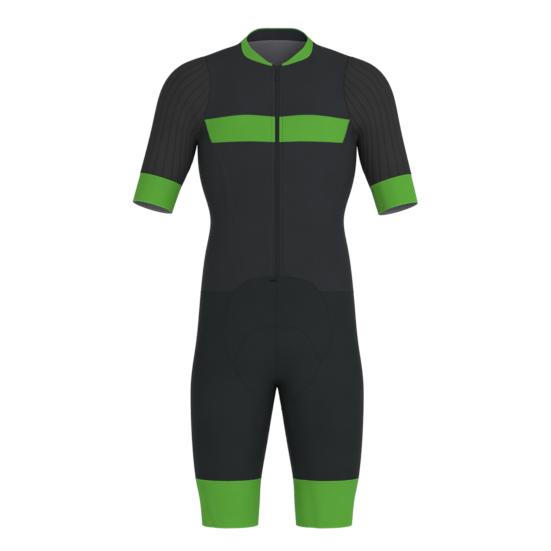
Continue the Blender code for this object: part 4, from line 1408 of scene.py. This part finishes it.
def knit_finish(name, knit, ribbed, folded):
    """A knit: V-shaped stitches as bump and faint painted shade, with a soft unevenness of the dye.

    The painted shade darkens the low parts of the stitches and lightens their tops. It may also have
    painted shade in the grooves between the sleeve's ribs, or the pressed fold that runs down beside
    the zip, raised as bump and lightened on its crest by a painted highlight.
    """
    material, shader, tree, node = new_finish(name, knit.roughness)
    height, spot = knit_height(node, knit.wales, knit.courses)
    uneven = maths(node, "MULTIPLY", fibre(node, DYE_SCALE, DYE_DETAIL), DYE_SHARE)
    fuzz = maths(node, "MULTIPLY", fibre(node, FUZZ_SCALE), FUZZ_SHARE)
    # painted shade: the knit is darker where its stitches lie low and lighter where they stand high
    above = maths(node, "SUBTRACT", height, KNIT_LEVEL)
    stitch = maths(node, "MULTIPLY", above, STITCH_PAINTED_SHADE)
    tone = maths(node, "ADD", maths(node, "ADD", uneven, fuzz), stitch)
    height = maths(node, "ADD", height, maths(node, "MULTIPLY", fuzz, FUZZ_HEIGHT))
    if ribbed:
        ribs_across = sizes("cloth").ribs_per_column
        phase = maths(node, "FRACT", maths(node, "MULTIPLY", spot.outputs["X"], ribs_across))
        middle = maths(node, "ABSOLUTE", maths(node, "SUBTRACT", phase, 0.5))
        # painted shade darkens the grooves between the ribs
        tone = maths(node, "SUBTRACT", tone,
                     softly(node, middle, GROOVE_START, 0.5, 0.0, GROOVE_PAINTED_SHADE))
    if folded:
        place = node("ShaderNodeSeparateXYZ", Vector=node("ShaderNodeTexCoord").outputs["Object"])
        line = maths(node, "MULTIPLY_ADD", place.outputs["Z"], FOLD_SLANT, sizes("zip").fold_x)
        away = maths(node, "ABSOLUTE", maths(node, "SUBTRACT", place.outputs["X"], line))
        crest = softly(node, away, 0.0, FOLD_WIDTH * MM, 1.0, 0.0)
        # the fold's crest is lightened as well as raised: a painted highlight
        tone = maths(node, "ADD", tone, maths(node, "MULTIPLY", crest, FOLD_PAINTED_HIGHLIGHT))
        height = maths(node, "ADD", height, maths(node, "MULTIPLY", crest, FOLD_HEIGHT))
    span = SHADE_SPAN * knit.blotch
    shades = shaded(node, base_colour(knit), tone, 1 - span, 1 + span)
    tree.links.new(shades, shader.inputs["Base Color"])
    roughen(node, tree, shader, tone, knit.roughness)
    bump = node("ShaderNodeBump", Strength=knit.relief, Distance=KNIT_BUMP * MM, Height=height)
    tree.links.new(bump.outputs["Normal"], shader.inputs["Normal"])
    return material


def woven_finish(name, woven):
    """A woven tape: fine threads that cross, so many to the metre, as bump and painted shade."""
    material, shader, tree, node = new_finish(name, woven.roughness)
    place = node("ShaderNodeSeparateXYZ", Vector=node("ShaderNodeTexCoord").outputs["Object"])
    turns = woven.threads * 2 * math.pi
    waves = [maths(node, "SINE", maths(node, "MULTIPLY", place.outputs[axis], turns))
             for axis in ("X", "Z")]
    height = maths(node, "MULTIPLY", waves[0], waves[1])
    # painted shade: the tape is darker where its threads lie low and lighter where they cross high
    weave = maths(node, "MULTIPLY", height, WEAVE_PAINTED_SHADE)
    tone = maths(node, "ADD", weave, fibre(node, WEAVE_FUZZ))
    shades = shaded(node, base_colour(woven), tone, *WEAVE_SHADES)
    tree.links.new(shades, shader.inputs["Base Color"])
    roughen(node, tree, shader, tone, woven.roughness)
    bump = node("ShaderNodeBump", Strength=WEAVE_RELIEF, Distance=WEAVE_BUMP * MM, Height=height)
    tree.links.new(bump.outputs["Normal"], shader.inputs["Normal"])
    return material


def moulded_finish(name, moulded):
    """Moulded plastic or waxed thread with a faint grain."""
    material, shader, tree, node = new_finish(name, moulded.roughness, moulded.specular)
    grain = fibre(node, GRAIN_SCALE)
    shades = shaded(node, base_colour(moulded), grain, *GRAIN_SHADES)
    tree.links.new(shades, shader.inputs["Base Color"])
    roughen(node, tree, shader, grain, moulded.roughness)
    bump = node("ShaderNodeBump", Strength=GRAIN_RELIEF, Distance=GRAIN_BUMP * MM, Height=grain)
    tree.links.new(bump.outputs["Normal"], shader.inputs["Normal"])
    return material


def finish(name):
    """One of the suit's finishes, made when it is first asked for."""
    found = bpy.data.materials.get("suit_" + name)
    if found:
        return found
    if name in KNITS:
        return knit_finish("suit_" + name, KNITS[name], name in RIBBED, name in FOLDED)
    if name in WOVEN:
        return woven_finish("suit_" + name, WOVEN[name])
    return moulded_finish("suit_" + name, MOULDED[name])


# The collar.

def neckline():
    """The neckline's vertices from the zip's left side round the back to its right side."""
    source = suit()
    in_strip = set(source["pieces"]["zip"])
    edges = [e for e in source["body"].edges
             if e.is_boundary and not any(f in in_strip for f in e.link_faces)]
    open_edges = set(edges)
    start = next(v for f in source["pieces"]["zip"] for v in f.verts
                 if v.is_boundary and v.co.x > EPSILON
                 and any(e in open_edges for e in v.link_edges))
    path = [start]
    edge = next(e for e in start.link_edges if e in open_edges)
    while edge:
        path.append(edge.other_vert(path[-1]))
        edge = next((e for e in path[-1].link_edges if e in open_edges and e != edge), None)
    return path


def collar_surface():
    """The collar's outer surface, and its rows of points from the neckline to the upper edge."""
    cloth = sizes("cloth")
    neck = neckline()
    lengths = [0.0]
    for a, b in zip(neck, neck[1:]):
        lengths.append(lengths[-1] + (b.co - a.co).length)
    half = lengths[-1] / 2
    bm = bmesh.new()
    grid = bm.loops.layers.uv.new("grid")
    tint = bm.faces.layers.int.new("tint")
    rows = []
    for vertex, far in zip(neck, lengths):
        p = vertex.co
        along = 1 - abs(far - half) / half
        side = 1 if far < half else -1
        x, y, z = (follow(COLLAR, "along", axis, along) for axis in "xyz")
        top = Vector((side * x, y, z)) * MM
        base = p + (top - p).normalized() * cloth.collar_gap
        outward = Vector((p.x, p.y, 0)).normalized()
        row = []
        for step in range(COLLAR_ROWS + 1):
            t = step / COLLAR_ROWS
            swell = cloth.collar_bulge * 4 * t * (1 - t)
            row.append(bm.verts.new(base.lerp(top, t) + outward * swell))
        rows.append(row)
    for number, (this, following) in enumerate(zip(rows, rows[1:])):
        for step in range(COLLAR_ROWS):
            face = bm.faces.new((this[step], following[step], following[step + 1], this[step + 1]))
            for loop, spot in zip(face.loops, ((0, 0), (1, 0), (1, 1), (0, 1))):
                loop[grid].uv = ((number + spot[0]) / COLLAR_GRID, (step + spot[1]) / COLLAR_GRID)
            centre = face.calc_center_median()
            if abs(centre.x) < COLLAR_TIP * MM and centre.y < 0:
                face[tint] = 1
    bm.normal_update()
    middle = rows[len(rows) // 2][COLLAR_ROWS // 2]
    if middle.normal.y < 0:
        bmesh.ops.reverse_faces(bm, faces=bm.faces[:])
        bm.normal_update()
    for vertex, row in zip(neck, rows):
        row[0].normal = (vertex.normal + row[0].normal).normalized()
    return bm, rows


# Operators.

class SKINSUIT_OT_upper_body(bpy.types.Operator):
    """Build the fronts, the sides and the back"""
    bl_idname = "skinsuit.upper_body"
    bl_label = "Upper Body"

    def execute(self, context):
        for name in ("front_left", "front_right", "side_left", "side_right", "back"):
            add_cloth(name)
        return {"FINISHED"}


class SKINSUIT_OT_sleeves(bpy.types.Operator):
    """Build the ribbed sleeves and their green cuffs"""
    bl_idname = "skinsuit.sleeves"
    bl_label = "Sleeves"

    def execute(self, context):
        for name in ("sleeve_left", "sleeve_right", "cuff_left", "cuff_right"):
            add_cloth(name)
        return {"FINISHED"}


class SKINSUIT_OT_shorts(bpy.types.Operator):
    """Build the fly pieces, the gussets, the legs and their green grippers"""
    bl_idname = "skinsuit.shorts"
    bl_label = "Shorts"

    def execute(self, context):
        for kind in ("fly", "gusset", "leg", "gripper"):
            for word in ("left", "right"):
                add_cloth(f"{kind}_{word}")
        return {"FINISHED"}


class SKINSUIT_OT_collar(bpy.types.Operator):
    """Build the stand collar and the facing inside it"""
    bl_idname = "skinsuit.collar"
    bl_label = "Collar"

    def execute(self, context):
        cloth = sizes("cloth")
        bm, rows = collar_surface()
        # The collar's rims get the lighter green, a painted highlight.
        collar = wall("collar_cloth", bm.faces[:], bm,
                      [finish("green_knit"), finish("green_knit"), finish("black_knit"),
                       finish("green_edge")], CORDED_RIM, cloth.wall, cloth.seam_gap,
                      nodes=("collar",), slot="green_knit")
        ends = {v for row in rows[:2] + rows[-2:] for v in row}
        for row in rows:
            bottom, height = row[0].co.copy(), row[-1].co - row[0].co
            for vertex in row:
                along = (vertex.co - bottom).length / height.length
                vertex.co -= height * (FACING_START * (1 - along) + FACING_DROP * along)
        facing = wall("collar_facing_cloth", [f for f in bm.faces if not ends & set(f.verts)], bm,
                      [finish("dark_facing")] * 4, PLAIN_RIM, cloth.facing_wall, 0.0,
                      lift=-(cloth.wall + cloth.seam_gap), nodes=("collar_facing",),
                      slot="dark_facing")
        bm.free()
        return {"FINISHED"}


class SKINSUIT_OT_zip(bpy.types.Operator):
    """Build the zip: its tape, the strip and teeth between the fronts, the slider and the bar tack"""
    bl_idname = "skinsuit.zip"
    bl_label = "Zip"

    def execute(self, context):
        size, cloth = sizes("zip"), sizes("cloth")
        source = suit()
        tree, strip, body = source["tree"], source["pieces"]["zip"], source["body"]
        widen = size.tape_half_width / size.half_gap

        def to_tape(p):
            return met_from(tree, "front", p.x * widen, p.z - size.tape_end)[0]

        woven = [finish("zip_tape")] * 4
        tape = wall("zip_tape_woven", strip, body, woven, PLAIN_RIM, size.tape_wall, 0.0,
                    lift=-(cloth.wall + size.tape_clearance), reshape=to_tape, nodes=("zip_tape",),
                    slot="zip_black")
        wall("zip_base", strip, body, woven, PLAIN_RIM, size.base_wall, cloth.seam_gap,
             lift=-size.base_depth, nodes=("zip_coil",), slot="zip_black")
        self.add_teeth(size, tree)
        self.add_slider(size, tree)
        self.add_bar_tack(size, tree)
        return {"FINISHED"}

    def add_teeth(self, size, tree):
        template = tooth_template(size.tooth_width, size.tooth_pitch)
        places = []
        z = (NECK_FRONT[0].z - TEETH_START) * MM
        number = 0
        while z > (WAIST[0].z + TEETH_END) * MM:
            side = -1 if number % 2 else 1
            spot, normal = met_from(tree, "front", 0.0, z)
            up = Vector((1, 0, 0)).cross(normal).normalized() * side
            turn = Matrix((Vector((-side, 0, 0)), -normal, up)).transposed().to_4x4()
            aside = Vector((side * size.tooth_width * TOOTH_ASIDE, 0, 0))
            middle = spot - normal * TOOTH_DEPTH * MM + aside
            places.append(Matrix.Translation(middle) @ turn)
            z -= size.tooth_pitch / 2
            number += 1
        copies("zip_teeth", template, places, [finish("zip_black")])

    def add_slider(self, size, tree):
        template = slider_template(size.slider_width, size.slider_height)
        spot, normal = met_from(tree, "front", 0.0, size.slider_z)
        turn = normal.to_track_quat("-Y", "Z").to_matrix().to_4x4()
        place = Matrix.Translation(spot + normal * SLIDER_LIFT * MM) @ turn
        copies("zip_slider_body", template, [place], [finish("zip_black")], nodes=("zip_slider",))

    def add_bar_tack(self, size, tree):
        template = thread_template()
        thick = size.stop_step * TACK_OVERLAP
        count = round(size.stop_width / size.stop_step)
        places = []
        for number in range(count):
            x = size.stop_x + (number - (count - 1) / 2) * size.stop_step
            spot, normal = met_from(tree, "front", x, size.stop_z)
            along = Vector((TACK_SLANT * (-1) ** number, 0, 1))
            places.append(placed(spot + normal * TACK_LIFT * MM, along, normal,
                                 (size.stop_length, thick, thick)))
        copies("zip_bar_tack", template, places, [finish("thread_dark")], nodes=("zip_stop",))


class SKINSUIT_OT_stitching(bpy.types.Operator):
    """Build the stitches that cover the seams and run down beside the zip"""
    bl_idname = "skinsuit.stitching"
    bl_label = "Stitching"

    def execute(self, context):
        template = thread_template()
        kinds = {
            # The princess seams get the lighter thread: a painted highlight along their ridge.
            "stitches_upper": ("thread_light", lambda pair: pair <= UPPER and "side" in pair),
            "stitches_armholes": ("thread_black", lambda pair: "sleeve" in pair and pair & UPPER),
            "stitches_waist": ("thread_black", lambda pair: pair & UPPER and pair & SHORTS),
            "stitches_shorts": ("thread_black", lambda pair: pair <= SHORTS),
        }
        for name, (thread, wanted) in kinds.items():
            places = cover_stitches(lines_of(seam_edges(wanted)))
            copies(name, template, places, [finish(thread)])
        for name, kind in (("stitches_cuffs", "cuff"), ("stitches_grippers", "gripper")):
            places = band_stitches(kind)
            copies(name, template, places, [finish("thread_green")])
        copies("stitches_zip", template, run_stitches(), [finish("thread_dark")])
        return {"FINISHED"}


class SKINSUIT_OT_stage(bpy.types.Operator):
    """Build the floor, the lights and the camera"""
    bl_idname = "skinsuit.stage"
    bl_label = "Stage"

    def execute(self, context):
        size = sizes("stage")
        self.add_floor(size)
        self.add_lights(size)
        camera = bpy.data.cameras.new("camera")
        camera.lens = size.lens
        holder = bpy.data.objects.new("camera", camera)
        holder.location = (size.camera_x, -size.distance, size.camera_z)
        holder.rotation_euler = (math.pi / 2, 0, 0)
        context.scene.collection.objects.link(holder)
        context.scene.camera = holder
        context.scene.view_settings.view_transform = "Standard"
        return {"FINISHED"}

    def add_floor(self, size):
        deselect()
        bpy.ops.mesh.primitive_plane_add(size=size.floor_size, location=(0, 0, size.floor_z))
        floor = bpy.context.object
        floor.name = "floor"
        bpy.ops.object.transform_apply(location=True)
        material, shader, tree, node = new_finish("suit_floor", FLOOR_ROUGHNESS)
        shades = shaded(node, FLOOR_COLOUR, fibre(node, FLOOR_SCALE), *FLOOR_SHADES)
        tree.links.new(shades, shader.inputs["Base Color"])
        floor.data.materials.append(material)

    def add_lights(self, size):
        world = bpy.data.worlds.new("sky")
        bpy.context.scene.world = world
        world.use_nodes = True
        nodes, links = world.node_tree.nodes, world.node_tree.links
        sky = nodes["Background"]
        sky.inputs["Color"].default_value = (1.0, 1.0, 1.0, 1.0)
        sky.inputs["Strength"].default_value = size.sky
        backdrop = nodes.new("ShaderNodeBackground")
        backdrop.inputs["Color"].default_value = (1.0, 1.0, 1.0, 1.0)
        backdrop.inputs["Strength"].default_value = BACKDROP
        chosen = nodes.new("ShaderNodeMixShader")
        links.new(nodes.new("ShaderNodeLightPath").outputs["Is Camera Ray"], chosen.inputs[0])
        links.new(sky.outputs[0], chosen.inputs[1])
        links.new(backdrop.outputs[0], chosen.inputs[2])
        links.new(chosen.outputs[0], nodes["World Output"].inputs["Surface"])
        middle = Vector((0, 0, size.camera_z))
        for lamp in LAMPS:
            light = bpy.data.lights.new(lamp.name, "AREA")
            light.energy = lamp.share * size.power
            light.size = lamp.width
            holder = bpy.data.objects.new(lamp.name, light)
            holder.location = (lamp.x, lamp.y, lamp.z)
            holder.rotation_euler = (middle - holder.location).to_track_quat("-Z", "Y").to_euler()
            bpy.context.scene.collection.objects.link(holder)


class SKINSUIT_PT_panel(bpy.types.Panel):
    """The suit's sizes, colours and operators"""
    bl_idname = "SKINSUIT_PT_panel"
    bl_label = "Cycling Skinsuit"
    bl_space_type = "VIEW_3D"
    bl_region_type = "UI"
    bl_category = "Skinsuit"

    def draw(self, context):
        for group in GROUPS:
            box = self.layout.box()
            for name in GROUPS[group].__annotations__:
                box.prop(sizes(group), name)
        for operator in OPERATORS:
            self.layout.operator(operator.bl_idname)


GROUPS = {"cloth": ClothSizes, "zip": ZipSizes, "stitch": StitchSizes, "colours": SuitColours,
          "stage": StageSizes}
OPERATORS = (SKINSUIT_OT_upper_body, SKINSUIT_OT_sleeves, SKINSUIT_OT_shorts, SKINSUIT_OT_collar,
             SKINSUIT_OT_zip, SKINSUIT_OT_stitching, SKINSUIT_OT_stage)


def register():
    """Adds the property groups, the operators and the panel to Blender."""
    for group in GROUPS.values():
        bpy.utils.register_class(group)
    for operator in OPERATORS:
        bpy.utils.register_class(operator)
    bpy.utils.register_class(SKINSUIT_PT_panel)
    for name, group in GROUPS.items():
        setattr(bpy.types.Scene, "suit_" + name, PointerProperty(type=group))


def unregister():
    """Takes them out again."""
    for name in GROUPS:
        delattr(bpy.types.Scene, "suit_" + name)
    bpy.utils.unregister_class(SKINSUIT_PT_panel)
    for operator in reversed(OPERATORS):
        bpy.utils.unregister_class(operator)
    for group in reversed(GROUPS.values()):
        bpy.utils.unregister_class(group)


def corners(bounds):
    """The lowest and the highest corner of a box, as plain lists of numbers."""
    return [list(corner) for corner in bounds]


def main():
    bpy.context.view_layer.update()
    register()
    bpy.ops.skinsuit.upper_body()
    bpy.ops.skinsuit.sleeves()
    bpy.ops.skinsuit.shorts()
    bpy.ops.skinsuit.collar()
    bpy.ops.skinsuit.zip()
    bpy.ops.skinsuit.stitching()
    bpy.ops.skinsuit.stage()
    for surface in ("body", "sleeves"):
        built.pop(surface).free()
    built.clear()
    bpy.context.view_layer.update()


if __name__ == "__main__":
    main()
